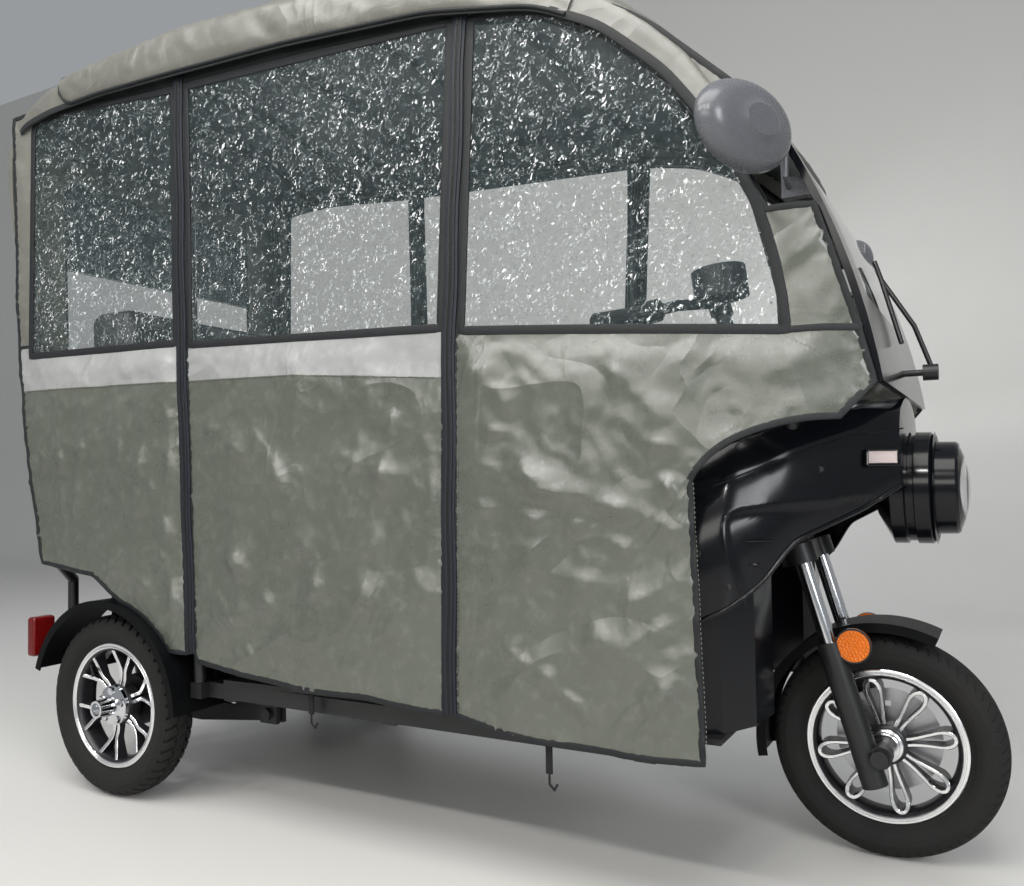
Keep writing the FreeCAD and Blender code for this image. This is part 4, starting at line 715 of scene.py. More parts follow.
# %%
GRAIN = 0.0095  # between the points of a mesh
CLOTH, VINYL = 0.002, 0.0007  # thicknesses
STAND = 0.003  # how far the cloth stands off its wall at least
LINE_GAP = 0.02  # between the points of a line that distances are taken to
PATH_GAP = 0.0105  # between the points of a tape's path on the cloth
FADE = 0.05  # the distance over which the lift dies away at a window or a zip
FOLDS = {  # in millimetres from the rear axle: start, end, how wide, how high
    "front": [(961, 743, 1221, 675, 30, 9), (989, 710, 1307, 642, 18, 5), (1221, 675, 1381, 604, 20, 6),
              (968, 666, 1146, 624, 12, 4), (1146, 641, 1289, 578, 13, 4), (1318, 723, 1373, 612, 14, 6),
              (1293, 772, 1392, 722, 14, 4), (964, 461, 1085, 417, 9, 4), (1026, 430, 1141, 337, 10, 5),
              (1104, 393, 1159, 331, 8, 4), (1141, 354, 1213, 288, 10, 5), (1180, 441, 1286, 433, 12, 3),
              (1284, 369, 1325, 286, 16, 6), (1252, 495, 1372, 549, 16, 5), (1286, 449, 1386, 487, 14, 5),
              (1301, 354, 1384, 394, 22, 7), (957, 928, 1072, 814, 24, 5), (1226, 908, 1328, 803, 18, 4),
              (991, 800, 1111, 761, 13, 4), (1050, 560, 1240, 520, 40, 5)],
    "mid": [(285, 848, 459, 737, 26, 6), (432, 842, 567, 635, 20, 6), (567, 635, 642, 440, 24, 7),
            (805, 864, 767, 637, 20, 6), (767, 637, 716, 407, 26, 7), (299, 632, 565, 396, 22, 6),
            (646, 773, 882, 675, 18, 4), (880, 565, 763, 373, 22, 6), (313, 462, 456, 306, 14, 5),
            (568, 735, 860, 721, 5, 2), (271, 541, 465, 333, 7, 4), (873, 823, 902, 565, 12, 5),
            (390, 700, 410, 360, 30, 6)],
    "rear": [(-83, 936, -119, 628, 16, 6), (24, 929, 41, 675, 14, 5), (126, 901, 92, 630, 16, 6),
             (-195, 918, -156, 580, 18, 7), (158, 586, 236, 415, 12, 6), (-11, 537, 189, 455, 18, 5),
             (-273, 922, -233, 724, 14, 6), (125, 743, 221, 544, 14, 5), (190, 900, 200, 640, 12, 4)],
}


def rough_field(points, scale, seed, octaves=4, kind="fractal", lean=0.0, squash=1.0):
    """Noise at side-view points, turned and squeezed."""
    c, s = math.cos(lean), math.sin(lean)
    made = []
    for x, z in points:
        place = Vector(((x * c + z * s) * scale, (z * c - x * s) * scale * squash, seed))
        if kind == "ridge":
            made.append(noise.ridged_multi_fractal(place, 0.9, 2.1, octaves, 1.0, 1.6))
        else:
            made.append(noise.fractal(place, 0.7, 2.1, octaves))
    return np.array(made)


def cloth_lift(points, name, side):
    """How far the cloth stands off its wall at side-view points."""
    points = np.asarray(points, float)
    seed = 11.7 + 5.1 * side + {"rear": 0.0, "mid": 9.0, "front": 21.0}[name]
    to_zip = np.min([nearest(points, spaced(beside(line, 0), LINE_GAP, False))[0]
                     for line in (REAR_ZIP, FRONT_ZIP)], 0)
    still = edge_fade(points, spaced(trace(WINDOWS[name]), LINE_GAP), FADE) * smooth(to_zip / FADE)
    swell = rough_field(points, 3.1, seed, 3, squash=0.45) * 0.011
    crumple = np.clip(rough_field(points, 7.5, seed + 3, 4, "ridge", 0.5 * side, 1.5) - 0.9, 0, 1.4) * 0.0034
    crease = (1 - np.abs(rough_field(points, 13, seed + 5, 2))) ** 9 * 0.0022
    hem = smooth((0.62 - points[:, 1]) / 0.3) * (0.5 + 0.5 * np.sin(points[:, 0] * 29 + seed)) * 0.007
    lift = 0.006 + swell + crumple + crease + hem
    jitter = 0.0 if side < 0 else 0.03  # so that the left side isn't the right one's mirror image
    for x0, z0, x1, z1, width, high in FOLDS[name]:
        a, b = Vector(rear(x0, z0)), Vector(rear(x1, z1))
        a += Vector((jitter, -jitter))
        path = [tuple(a), tuple(a.lerp(b, 0.5) + Vector((0.006, 0.01))), tuple(b)]
        away, along = nearest(points, path)
        length = (b - a).length
        taper = smooth(along / (0.3 * length)) * smooth((length - along) / (0.3 * length) + 0.15)
        across = np.exp(-(away / (width / 1000)) ** 1.25)
        lift += high / 1000 * 1.8 * taper * across * (0.75 + 0.5 * np.sin(along * 55))
    return STAND + np.clip(lift, 0.0005, 0.03) * still


def gathers(points, name, side):
    """Short puckers square to the panel's sewn edge."""
    edge = spaced(trace(PANELS[name]), LINE_GAP)
    away, along = nearest(points, edge + edge[:1])
    wander = rough_field(points, 22, 40 + side, 2) * 3.2
    strength = 0.35 + 0.65 * smooth(rough_field([(a, 0.0) for a in along], 7, 60, 2) + 0.4)
    return 0.0021 * np.sin(along * 330 + wander * 2) * np.exp(-(away / 0.02) ** 1.4) * strength


def meshed(outer, holes=(), lines=(), gap=GRAIN):
    """Triangles inside an outline, with a point at every gap and edges along the given lines."""
    loops = [spaced(outer, gap)] + [spaced(hole, gap) for hole in holes]

    def within(spots):
        """Which spots lie inside the outline and outside its holes."""
        keep = inside(spots, loops[0])
        for hole in loops[1:]:
            keep &= ~inside(spots, hole)
        return keep

    points, edges = [], []
    for loop in loops:
        first = len(points)
        points += loop
        edges += [(first + i, first + (i + 1) % len(loop)) for i in range(len(loop))]
    for line in lines:
        first = len(points)
        line = spaced(line, gap, False)
        points += line
        edges += [(first + i, first + i + 1) for i in range(len(line) - 1)]
    low, high = np.min(points, 0), np.max(points, 0)
    rows = []
    for j, z in enumerate(np.arange(low[1], high[1], gap * 0.866)):
        for x in np.arange(low[0] + (j % 2) * gap / 2, high[0], gap):
            rows.append((x, z))
    rows = np.array(rows)
    away = np.min([nearest(rows, line)[0] for line in [loop + loop[:1] for loop in loops] + list(lines)], 0)
    points += [tuple(p) for p in rows[within(rows) & (away > gap * 0.5)]]
    verts, _, faces, _, _, _ = delaunay_2d_cdt([Vector(p) for p in points], edges, [], 0, 1e-7)
    verts = np.array([tuple(v) for v in verts])
    faces = np.array([f for f in faces if len(f) == 3])
    return verts, faces[within(verts[faces].mean(1))]


def sheet_mesh(verts, faces, outer_y, side, thick):
    """A closed thin sheet: its outer skin at outer_y, its inner skin one thickness further in."""
    a, b, c = (verts[faces[:, i]] for i in range(3))
    turn = (b[:, 0] - a[:, 0]) * (c[:, 1] - a[:, 1]) - (b[:, 1] - a[:, 1]) * (c[:, 0] - a[:, 0])
    flip = (turn > 0) == (side > 0)
    faces = np.where(flip[:, None], faces[:, ::-1], faces)
    used, index = np.unique(faces, return_inverse=True)
    faces, verts, outer_y = index.reshape(-1, 3), verts[used], np.asarray(outer_y)[used]
    n = len(verts)
    places = [(x, side * y, z) for (x, z), y in zip(verts, outer_y)]
    places += [(x, side * (y - thick), z) for (x, z), y in zip(verts, outer_y)]
    made = [tuple(f) for f in faces] + [tuple(f[::-1] + n) for f in faces]
    seen = dict.fromkeys((f[i], f[(i + 1) % 3]) for f in faces for i in range(3))
    made += [(b, a, a + n, b + n) for a, b in seen if (b, a) not in seen]
    return places, made


def skin_path(line, name, side, proud=0.0, closed=False):
    """A path that lies on the cloth along a side-view line, with its outward direction."""
    line = np.asarray(spaced(line, PATH_GAP, closed))
    y = wall_half(line[:, 0]) + cloth_lift(line, name, side) + proud
    out = (0.0, float(side), 0.0)
    path = [((x, side * w, z), out) for (x, z), w in zip(line, y)]
    return (True, path) if closed else path


def wall_picks(name, x, z):
    """Which finish each face of a panel has: 0 cover, 1 waist band, 2 roof cloth, 3 tape."""
    picks = np.zeros(len(x), int)
    if name == "front":
        picks[z > 1.3] = 2
    else:
        picks[(z > band_low(x)) & (z < BAND_HIGH)] = 1
        picks[z > BAND_HIGH] = 3
    picks[(z > BAND_HIGH + 0.01) & (x < REAR_AXLE - 0.285)] = 2
    return picks


for name, steps in PANELS.items():
    band = []
    if name in BAND_SPAN:
        start, end = BAND_SPAN[name]
        xs = np.append(np.arange(start, end, 0.01), end) + REAR_AXLE
        band = [list(zip(xs, band_low(xs)))]
    flat, faces = meshed(trace(steps), [trace(WINDOWS[name])], band)
    for label, side in SIDES.items():
        y = wall_half(flat[:, 0]) + cloth_lift(flat, name, side) + gathers(flat, name, side)
        places, made = sheet_mesh(flat, faces, y, side, CLOTH)
        middle = np.array([np.mean([places[i] for i in f], 0) for f in made])
        panel = piece(f"cover_{name}_{label}", places, made, [COVER, WAIST, ROOF, TAPE], sharp=75,
                      picks=wall_picks(name, middle[:, 0], middle[:, 2]), outward=False)
        declared(panel, "cover_cloth", f"cover_{name}_panels")
        print(panel.name, len(panel.data.polygons))

# %% [markdown]
# ## Crinkled windows
# The vinyl is sewn in behind the binding. It has taken a set from being rolled, in long shallow creases
# whose tops lean forward and in a net of small facets.


# %%
def film_lift(points, name, side):
    """How far the vinyl stands off its wall."""
    points = np.asarray(points, float)
    seed = 71 + 3.3 * side + {"rear": 0.0, "mid": 4.0, "front": 8.0}[name]
    still = edge_fade(points, spaced(trace(WINDOWS[name]), LINE_GAP), 0.045)
    swell = rough_field(points, 4.2, seed, 2) * 0.006
    long = np.clip(rough_field(points, 9, seed + 2, 3, "ridge", -0.75, 2.6) - 0.8, 0, 1.5) * 0.004
    facets = (1 - np.abs(rough_field(points, 24, seed + 4, 2))) ** 4 * 0.0036
    return STAND - 0.0016 + (0.0015 + np.clip(swell + long + facets, -0.002, 0.018)) * still


for name, steps in WINDOWS.items():
    flat, faces = meshed(trace(steps), gap=0.0088)
    for label, side in SIDES.items():
        y = wall_half(flat[:, 0]) + film_lift(flat, name, side)
        places, made = sheet_mesh(flat, faces, y, side, VINYL)
        pane = piece(f"window_{name}_{label}", places, made, FILM, sharp=85, outward=False)
        declared(pane, "clear_film", "side_windows")
print("windows made")

# %% [markdown]
# ## Binding, seams and zips
# Every cut edge is bound with black ribbed tape. The binding runs round the windows and the panels. The
# two zips are plastic teeth between two welts on woven tape. A few seams show their stitches.

# %%
WAIST_SEAMS = {"rear": [rear(-336, 945), rear(0, 939), rear(219, 934)],
               "mid": [rear(249, 934), rear(565, 926), rear(897, 900)]}
STITCHED = ([front(-222, 700), front(-209, 275)], [rear(951, 975), rear(940, 300)],
            [front(-76, 925), front(30, 865), front(-20, 812)])
# The zip's strip, its two welts and its teeth: shifts from its middle, and how far proud of the wall
ZIP_PARTS = (((0.0,), 0.006), ((-0.0055, 0.0055), 0.0086), ((0.0,), 0.0085))


def zip_path(line, side, shift, proud):
    """A path along a zip, a little wavy, beside its middle and proud of the wall."""
    steps = np.array(spaced(beside(line, 0), 0.008, False))
    wave = 0.0016 * np.sin(steps[:, 1] * 23 + steps[:, 0] * 9)
    return [((x + w + shift, side * (float(wall_half(x)) + proud), z), (0.0, float(side), 0.0))
            for (x, z), w in zip(steps, wave)]


for label, side in SIDES.items():
    windows = [skin_path(trace(WINDOWS[name]), name, side, -0.0002, True) for name in PANELS]
    tape(f"window_binding_{label}", windows, 0.017, 0.0042, TAPE)
    edges = [skin_path(trace(steps), name, side, -0.0004, True) for name, steps in PANELS.items()]
    edges.append(skin_path([front(-79, 937), front(-20, 936), front(30, 933)], "front", side))
    tape(f"edge_binding_{label}", edges, 0.011, 0.0036, TAPE)
    seams = [skin_path(seam, name, side) for name, seam in WAIST_SEAMS.items()]
    tape(f"waist_seam_{label}", seams, 0.0035, 0.0022, COVER, "cover_cloth")
    strips, welts, teeth = ([zip_path(line, side, shift, proud) for line in (REAR_ZIP, FRONT_ZIP)
                             for shift in shifts] for shifts, proud in ZIP_PARTS)
    tape(f"zip_tapes_{label}", strips, 0.03, 0.0042, ZIP_TAPE, node="cover_zips")
    tape(f"zip_welts_{label}", welts, 0.0065, 0.003, ZIP_TAPE)
    declared(grow(f"zip_teeth_{label}", ROW_GROUP, teeth, Step=0.0036, Shape=TOOTH, Finish=BLACK_PLASTIC),
             "black_plastic")
    stitched = [skin_path(line, "front", side, 0.0004) for line in STITCHED]
    declared(grow(f"panel_stitches_{label}", ROW_GROUP, stitched, Step=0.0075, Shape=STITCH, Finish=THREAD),
             "cover_cloth")
print("binding and zips made")

# %% [markdown]
# ## Finishes of the hard parts
# A part that comes over from the frame keeps its shape and gets its finish here. Only the cab frame has a
# copy of its own, whose front feet are bent in, so that they stay under the smoother fairing.


# %%
def finish_nodes(table):
    """Gives nodes of the frame their finishes."""
    for finish, names in table:
        for name in names.split():
            mesh = NODES[name].data
            mesh.materials.clear()
            mesh.materials.append(finish)


finish_nodes([
    (BLACK_GLOSS, "front_fairing leg_shield windscreen_frame headlamp_housing rear_body"),
    (BLACK_GUARD, "rear_mudguards front_mudguard"),
    (BLACK_PAINT, "fork_legs steering_column handlebar chassis_frame rear_axle trailing_arms rear_shocks"),
    (BLACK_PAINT, "rear_guard roof_bows back_rails wiper brake_caliper"),
    (BLACK_PLASTIC, "handlebar_controls floor_pan battery_box driver_seat_base"),
    (GRIP, "handlebar_grips"),
    (CHROME, "fork_tubes rear_hub_left rear_hub_right"),
    (STEEL, "brake_disc"),
    (MIRROR_SHELL, "mirrors"),
    (MIRROR_GLASS, "mirror_glasses"),
    (SCREEN, "windscreen"),
    (LAMP_CLEAR, "headlamp_lens"),
    (SIGNAL_CLEAR, "turn_signals"),
    (AMBER, "fork_reflectors"),
    (RED, "tail_lamps"),
    (WEBBING, "cover_straps"),
])
print("finished nodes", sum(1 for o in NODES.values() if o.data.materials))


# The bend starts at FOOT_HIGH and is whole at FOOT_LOW, on what lies ahead of FOOT_START
FOOT_LOW, FOOT_HIGH, FOOT_START, FOOT_TUCK = 0.79, 0.92, 0.76, 0.036
node = NODES["cab_side_loops"]
places = []
for vert in node.data.vertices:
    x, y, z = node.matrix_world @ vert.co
    share = float(smooth((FOOT_HIGH - z) / (FOOT_HIGH - FOOT_LOW))) if x > FOOT_START else 0.0
    places.append((x, y - math.copysign(FOOT_TUCK * share, y), z))
made = piece("cab_frame", places, [tuple(p.vertices) for p in node.data.polygons], BLACK_PAINT, sharp=32)
declared(made, "black_paint", "cab_side_loops")

# %% [markdown]
# ## Turned and lofted forms
# Rims, hubs and lamp parts are profiles turned round an axis. Spokes, valves, flaps and piping are
# sections carried along a line.


# %%
def tidy_mesh(made, sharp=32):
    """Welds the poles and seams of a made mesh and turns its faces outward."""
    work = bmesh.new()
    work.from_mesh(made.data)
    bmesh.ops.remove_doubles(work, verts=work.verts, dist=1e-6)
    bmesh.ops.dissolve_degenerate(work, edges=work.edges, dist=1e-7)
    work.to_mesh(made.data)
    work.free()
    soften(made.data, sharp)
    return made


def turned(name, profile, centre, side, finishes, body="vehicle", count=96, pick=None, sharp=32, axis="Y"):
    """A closed profile of (radius, outward) turned round an axis through the centre."""
    (cx, cy, cz), rings = centre, []
    for radius, out in profile:
        spots = [(radius * math.cos(t), side * out, radius * math.sin(t)) for t in turns_of(count)]
        if axis == "X":
            spots = [(y, x, z) for x, y, z in spots]
        rings.append([(cx + x, cy + y, cz + z) for x, y, z in spots])
    places, faces = loft(rings, closed_row=True)
    picks = None
    if pick:
        ends = [profile[k] + profile[(k + 1) % len(profile)] for k in range(len(profile))]
        picks = [pick(*ends[f // count]) for f in range(len(faces))]
    return tidy_mesh(piece(name, places, faces, finishes, body, picks=picks), sharp)


def bars(name, lines, finishes, body="vehicle", pick=None, sharp=40):
    """Closed bars, each a list of section rings with equal counts."""
    verts, faces, picks = [], [], []
    for rings in lines:
        first, n = len(verts), len(rings[0])
        places, made = capped(rings)
        verts += places
        faces += [tuple(first + i for i in f) for f in made]
        if pick:
            picks += [pick(k % n if k < len(made) - 2 else -1) for k in range(len(made))]
    return piece(name, verts, faces, finishes, body, sharp, picks or None)


def rod_rings(points, radius, count=10):
    """Section rings of a round rod along points; the radius may be a list."""
    points = [Vector(p) for p in points]
    radii = radius if isinstance(radius, (list, tuple)) else [radius] * len(points)
    rings, across = [], None
    for i, p in enumerate(points):
        along = (points[min(i + 1, len(points) - 1)] - points[max(i - 1, 0)]).normalized()
        across = across or along.orthogonal()
        across = (across - along * across.dot(along)).normalized()
        other = along.cross(across)
        rings.append([tuple(p + (across * math.cos(t) + other * math.sin(t)) * radii[i])
                      for t in turns_of(count)])
    return rings


def rounded(points, gap=0.01, passes=2):
    """A polyline with its corners eased."""
    line = [Vector(p) for p in spaced([tuple(p) for p in points], gap, False)]
    for _ in range(passes):
        line = [line[0]] + [(a + b * 2 + c) / 4 for a, b, c in zip(line, line[1:], line[2:])] + [line[-1]]
    return line


def round_axle(centre, radius, out, turn):
    """A place at a radius and a turn round a cross axis, and out along it."""
    return Vector(centre) + Vector((radius * math.cos(turn), out, radius * math.sin(turn)))


print("forms ready")

# %% [markdown]
# ## Wheels
# The front wheel is cast with eight looped petals and the rear wheels with six twin bars that part into a
# V. Their faces and rim rings are turned bright, and the paint stays in the openings and the barrel.

# %%
RIM_RING = [  # the rim's profile: radius, out along the axle
            (0.1200, -0.010), (0.1205, 0.010), (0.1235, 0.0215), (0.1262, 0.0245), (0.1290, 0.0262),
            (0.1305, 0.0276), (0.1322, 0.0280), (0.1330, 0.0268), (0.1350, 0.0266), (0.1360, 0.0278),
            (0.1392, 0.0282), (0.1412, 0.0272), (0.1415, 0.0250), (0.1408, 0.0232), (0.1300, 0.0222),
            (0.1272, 0.0200), (0.1270, 0.0)]
RIM_RING += [(r, -y) for r, y in RIM_RING[-2:0:-1]]
WHEELS = {"front": ((FRONT_AXLE, 0.0, AXLE_Z), -1, "front_wheel"),
          "rear_right": ((REAR_AXLE, -0.43, AXLE_Z), -1, "rear_wheel_right"),
          "rear_left": ((REAR_AXLE, 0.43, AXLE_Z), 1, "rear_wheel_left")}


def rim_pick(r0, y0, r1, y1):
    """The turned bands of a rim ring are bright; the rest is painted."""
    return 0 if min(r0, r1) > 0.1285 and min(abs(y0), abs(y1)) > 0.0245 else 1


def spoke_rings(line, width, top, low, both):
    """Sections of a spoke bar along (along, across) points, bevelled on its face; both if it has the
    same face on the wheel's other side."""
    rings, bevel = [], 0.0011
    for i, (a, b) in enumerate(line):
        before, after = line[max(i - 1, 0)], line[min(i + 1, len(line) - 1)]
        along = Vector((after[0] - before[0], after[1] - before[1])).normalized()
        across = Vector((-along.y, along.x))
        half, high = width(a) / 2, top(a)
        deep = -high if both else low
        section = [(-half + bevel, high), (half - bevel, high), (half, high - bevel), (half, deep + bevel),
                   (half - bevel, deep), (-half + bevel, deep), (-half, deep + bevel), (-half, high - bevel)]
        rings.append([(a + across.x * w, b + across.y * w, y) for w, y in section])
    return rings


def spun(rings, centre, side, turn):
    """Takes sections from the wheel's plane to their place."""
    c, n = math.cos(turn), math.sin(turn)
    return [[(centre[0] + a * c - b * n, centre[1] + side * y, centre[2] + a * n + b * c) for a, b, y in r]
            for r in rings]


def eased_line(corners, count=5):
    """A smooth line through a few corners of the wheel's plane, with count steps between two."""
    made = []
    p = [corners[0]] + corners + [corners[-1]]
    for i in range(1, len(p) - 2):
        for t in np.linspace(0, 1, count, endpoint=False):
            made.append(tuple(0.5 * (2 * p[i][k] + (p[i + 1][k] - p[i - 1][k]) * t
                                     + (2 * p[i - 1][k] - 5 * p[i][k] + 4 * p[i + 1][k] - p[i + 2][k]) * t * t
                                     + (3 * p[i][k] - p[i - 1][k] - 3 * p[i + 1][k] + p[i + 2][k]) * t ** 3)
                              for k in (0, 1)))
    return made + [corners[-1]]


# Half of a petal and of a twin bar: along the wheel's radius, across it
PETAL = [(0.033, 0.0052), (0.052, 0.0062), (0.075, 0.0098), (0.094, 0.0130), (0.106, 0.0129),
         (0.1145, 0.0100), (0.1196, 0.0054), (0.1212, 0.0)]
TWIN = [(0.036, 0.0066), (0.060, 0.0068), (0.078, 0.0072), (0.094, 0.0138), (0.108, 0.0215), (0.1215, 0.0285)]
FRONT_HUB = [(0.0086, 0.035), (0.0230, 0.035), (0.0252, 0.0335), (0.0262, 0.0270), (0.0300, 0.0255),
             (0.0312, 0.0240), (0.0316, 0.0170), (0.0350, 0.0150), (0.0372, 0.0125)]
FRONT_HUB += [(r, -y) for r, y in FRONT_HUB[::-1]]
REAR_HUB = [(0.0090, 0.0120), (0.0090, 0.0178), (0.0440, 0.0178), (0.0452, 0.0160), (0.0456, 0.0080),
            (0.0420, 0.0040), (0.0400, -0.0200), (0.0300, -0.0280), (0.0090, -0.0280)]


def petal_top(a):
    """Height of a petal's face at a radius."""
    return 0.0125 + 0.0115 * max(0.0, (a - 0.05) / 0.07) ** 1.6


def twin_top(a):
    """Height of a twin bar's face at a radius."""
    return 0.0085 + 0.0135 * max(0.0, (a - 0.06) / 0.06) ** 1.5 + 0.004 * max(0.0, (0.055 - a) / 0.02)


def petal_width(a):
    """Width of a petal's bar at a radius."""
    return 0.0064 + 0.0012 * (a > 0.1)


def twin_width(a):
    """Width of a twin bar, the same all along."""
    return 0.0086


CAST = {  # spokes, half outline, width at a radius, face, back, both sides, turn, bright faces, hub
    "front": (8, PETAL, petal_width, petal_top, 0, True, 0.21, (0, 7, 1, 4), FRONT_HUB),
    "rear": (6, TWIN, twin_width, twin_top, -0.008, False, 0.34, (0, 7, 1), REAR_HUB)}
for label, (centre, side, body) in WHEELS.items():
    end, _, which = label.partition("_")
    count, outline, width, top, low, both, turn, bright, hub = CAST[end]
    lines = []
    for k in range(count):
        for flip in (1, -1):
            rings = spoke_rings(eased_line([(a, b * flip) for a, b in outline]), width, top, low, both)
            lines.append(spun(rings, centre, side, k * math.pi / (count / 2) + turn))
    rim = turned(f"rim_ring_{label}", RIM_RING, centre, side, [MACHINED, RIM_BLACK], body, 128, rim_pick, 28)
    spokes = bars(f"spokes_{label}", lines, [MACHINED, RIM_BLACK], body, lambda k: int(k not in bright))
    middle = turned(f"rim_hub_{label}", hub, centre, side, [RIM_BLACK, MACHINED], body, 64,
                    lambda r0, y0, r1, y1: int(min(abs(y0), abs(y1)) > 0.0235))
    for made in (rim, spokes, middle):
        declared(made, "alloy", f"{end}_rim_{which}".rstrip("_"))
print("rims", len(WHEELS))

# %% [markdown]
# ### Tyres
# The front tread has ribs cut by waved grooves; the rear ones have chunky shoulder blocks. Fine rings run
# round the side walls.

# %%
TYRE_STEPS = 512
TURNS = np.arange(TYRE_STEPS) * 2 * math.pi / TYRE_STEPS
CARCASS = [  # the side wall's profile: radius, out along the axle
           (0.1285, 0.0200), (0.1415, 0.0244), (0.1432, 0.0272), (0.1450, 0.0278), (0.1470, 0.0296),
           (0.1500, 0.0336), (0.1525, 0.0352), (0.1532, 0.0362), (0.1545, 0.0364), (0.1570, 0.0384),
           (0.1625, 0.0410), (0.1690, 0.0420), (0.1750, 0.0416), (0.1762, 0.0420), (0.1775, 0.0414),
           (0.1840, 0.0392), (0.1900, 0.0362)]
TREAD_Y = np.concatenate([np.linspace(0.0335, 0.0305, 3), np.linspace(0.0292, -0.0292, 35),
                          np.linspace(-0.0305, -0.0335, 3)])


def crown_radius(y):
    """The tyre's round crown from one shoulder to the other."""
    return 0.2048 - 0.0098 * (np.abs(y) / 0.0335) ** 2.6


def tread_depth(y, turn, rear_tyre):
    """How far a groove cuts in at a place across and round the tyre."""
    pitches = 46 if rear_tyre else 64
    phase = turn * pitches / (2 * math.pi)
    wave = np.abs((phase % 1.0) - 0.5) * 2
    if rear_tyre:
        groove = smooth(1 - np.abs(np.abs(y) - 0.0105 - 0.0022 * (wave > 0.5)) / 0.0032) ** 0.6
        cut = (np.abs(y) > 0.0125) & (((phase + np.abs(y) * 26 + 0.5 * (y > 0)) % 1.0) < 0.24)
        middle = (np.abs(y) < 0.009) & (((phase + y * 30) % 1.0) < 0.16)
        depth = np.maximum(groove * 0.0062, np.maximum(cut * 0.0068, middle * 0.0035))
    else:
        groove = np.maximum(smooth(1 - np.abs(np.abs(y) - 0.0075 - 0.0012 * wave) / 0.0022),
                            smooth(1 - np.abs(np.abs(y) - 0.0185 - 0.0010 * wave) / 0.0022))
        cut = (np.abs(y) > 0.021) & (((phase + np.abs(y) * 40) % 1.0) < 0.2)
        depth = np.maximum(groove * 0.0048, cut * 0.0045)
    return depth


def wall_ring(r, y, way):
    """A ring of one side wall, with fine ribs near the tread."""
    ribs = 0.0007 * ((TURNS * 150 / math.pi) % 1.0 < 0.5) if r > 0.177 else 0.0
    return np.full(TYRE_STEPS, r), way * (np.full(TYRE_STEPS, y) + ribs)


for label, (centre, side, body) in WHEELS.items():
    end, _, which = label.partition("_")
    tread = [(crown_radius(y) - tread_depth(np.full(TYRE_STEPS, y), TURNS, end == "rear"),
              np.full(TYRE_STEPS, y)) for y in TREAD_Y]
    rings = [wall_ring(*p, 1) for p in CARCASS] + tread + [wall_ring(*p, -1) for p in CARCASS[::-1]]
    places, faces = loft([np.stack([centre[0] + r * np.cos(TURNS), centre[1] + side * y,
                                    centre[2] + r * np.sin(TURNS)], 1) for r, y in rings], closed_row=True)
    declared(piece(f"tyre_{label}", places, faces, TYRE, body, sharp=38), "tyre_rubber",
             f"{end}_tyre_{which}".rstrip("_"))
print("tyres", TYRE_STEPS * len(rings))

# %% [markdown]
# ### Nuts, valves and disc bolts

# %%
for label, (centre, side, body) in WHEELS.items():
    if label != "front":
        spots = [(round_axle(centre, 0.034, side * 0.0262, t + 0.3), (0, side, 0)) for t in turns_of(5)]
        studs(f"wheel_nuts_{label}", spots, NUT, CHROME, "chrome", body)
    t = -0.62 if label == "front" else 2.4
    foot = round_axle(centre, 0.1225, side * 0.0165, t)
    inward = Vector((-math.cos(t), side * 0.35, -math.sin(t))).normalized()
    line = [foot + inward * share for share in (0, 0.012, 0.0125, 0.026, 0.0265, 0.034)]
    rings = rod_rings(line, [0.0048, 0.0040, 0.0030, 0.0028, 0.0040, 0.0038], 12)
    declared(bars(f"valve_{label}", [rings], GRIP, body), "black_rubber")
spots = [(round_axle((FRONT_AXLE, 0.0366, AXLE_Z), 0.026, 0, t), (0, 1, 0)) for t in turns_of(6)]
studs("disc_bolts", spots, SCREW, STEEL, "bare_steel", "front_wheel")
print("wheel details made")

# %% [markdown]
# ## Roof
# The roof is one sheet over its bows: it starts at the hem of the rear skirt, goes up round the back
# corners, forward over the cab and down to the windscreen. A padded flap is sewn over each side edge.

# %%
ROOF_ROWS = np.array([  # in millimetres from the rear axle: x, lower edge, lean, band height, half width
    (-387.2, 1545, -50, 40, 456), (-330, 1608, -20, 52, 466), (-215, 1620, -6, 84, 472),
    (-20, 1622, -2, 96, 476), (236, 1612, 1, 122, 477), (550, 1598, 4, 112, 477), (900, 1570, 8, 92, 476),
    (1120, 1526, 20, 74, 470), (1235, 1468, 35, 64, 462), (1345, 1368, 48, 58, 452),
    (1420, 1262, 60, 55, 444)], float)
CROWN, SHOULDER_SHARE = 42, 0.45  # rise of the middle; share of the band that is rounded
BOWS_AT = (-215, -20, 236, 550, 900, 1120)
SHEET = 0.0045  # thickness of the roof and of the fairing's shell


def roof_rows(count=132):
    """The roof's sections at even steps along it, eased where the table turns."""
    steps = np.linalg.norm(np.diff(ROOF_ROWS[:, :2], axis=0), axis=1)
    along = np.concatenate([[0], np.cumsum(steps)])
    places = np.linspace(0, along[-1], count)
    rows = np.stack([np.interp(places, along, ROOF_ROWS[:, k]) for k in range(5)], 1)
    for _ in range(5):
        rows[1:-1] = (rows[:-2] + 2 * rows[1:-1] + rows[2:]) / 4
    return rows, places


def both_halves(half):
    """A row of points with its mirror image past the middle."""
    return half + [Vector((p.x, -p.y, p.z)) for p in half[-2::-1]]


def half_section(row):
    """Points of the right half of a section from its lower edge to the middle: (across, up)."""
    band, half = row[3], row[4]
    shoulder = band * SHOULDER_SHARE
    made = [(-half, h) for h in np.linspace(0, band - shoulder, 8)]
    made += [(-half + shoulder * (1 - math.cos(t)), band - shoulder + shoulder * math.sin(t))
             for t in np.linspace(0, math.pi / 2, 9)[1:]]
    edge = half - shoulder
    made += [(y, band + CROWN * (1 - (y / edge) ** 2)) for y in np.linspace(-edge, 0, 17)[1:]]
    return made


def roof_place(row, across, up):
    """A point of a section in metres."""
    lean = math.radians(row[2])
    return Vector((REAR_AXLE + (row[0] + math.sin(lean) * up) / 1000, across / 1000,
                   (row[1] + math.cos(lean) * up) / 1000))


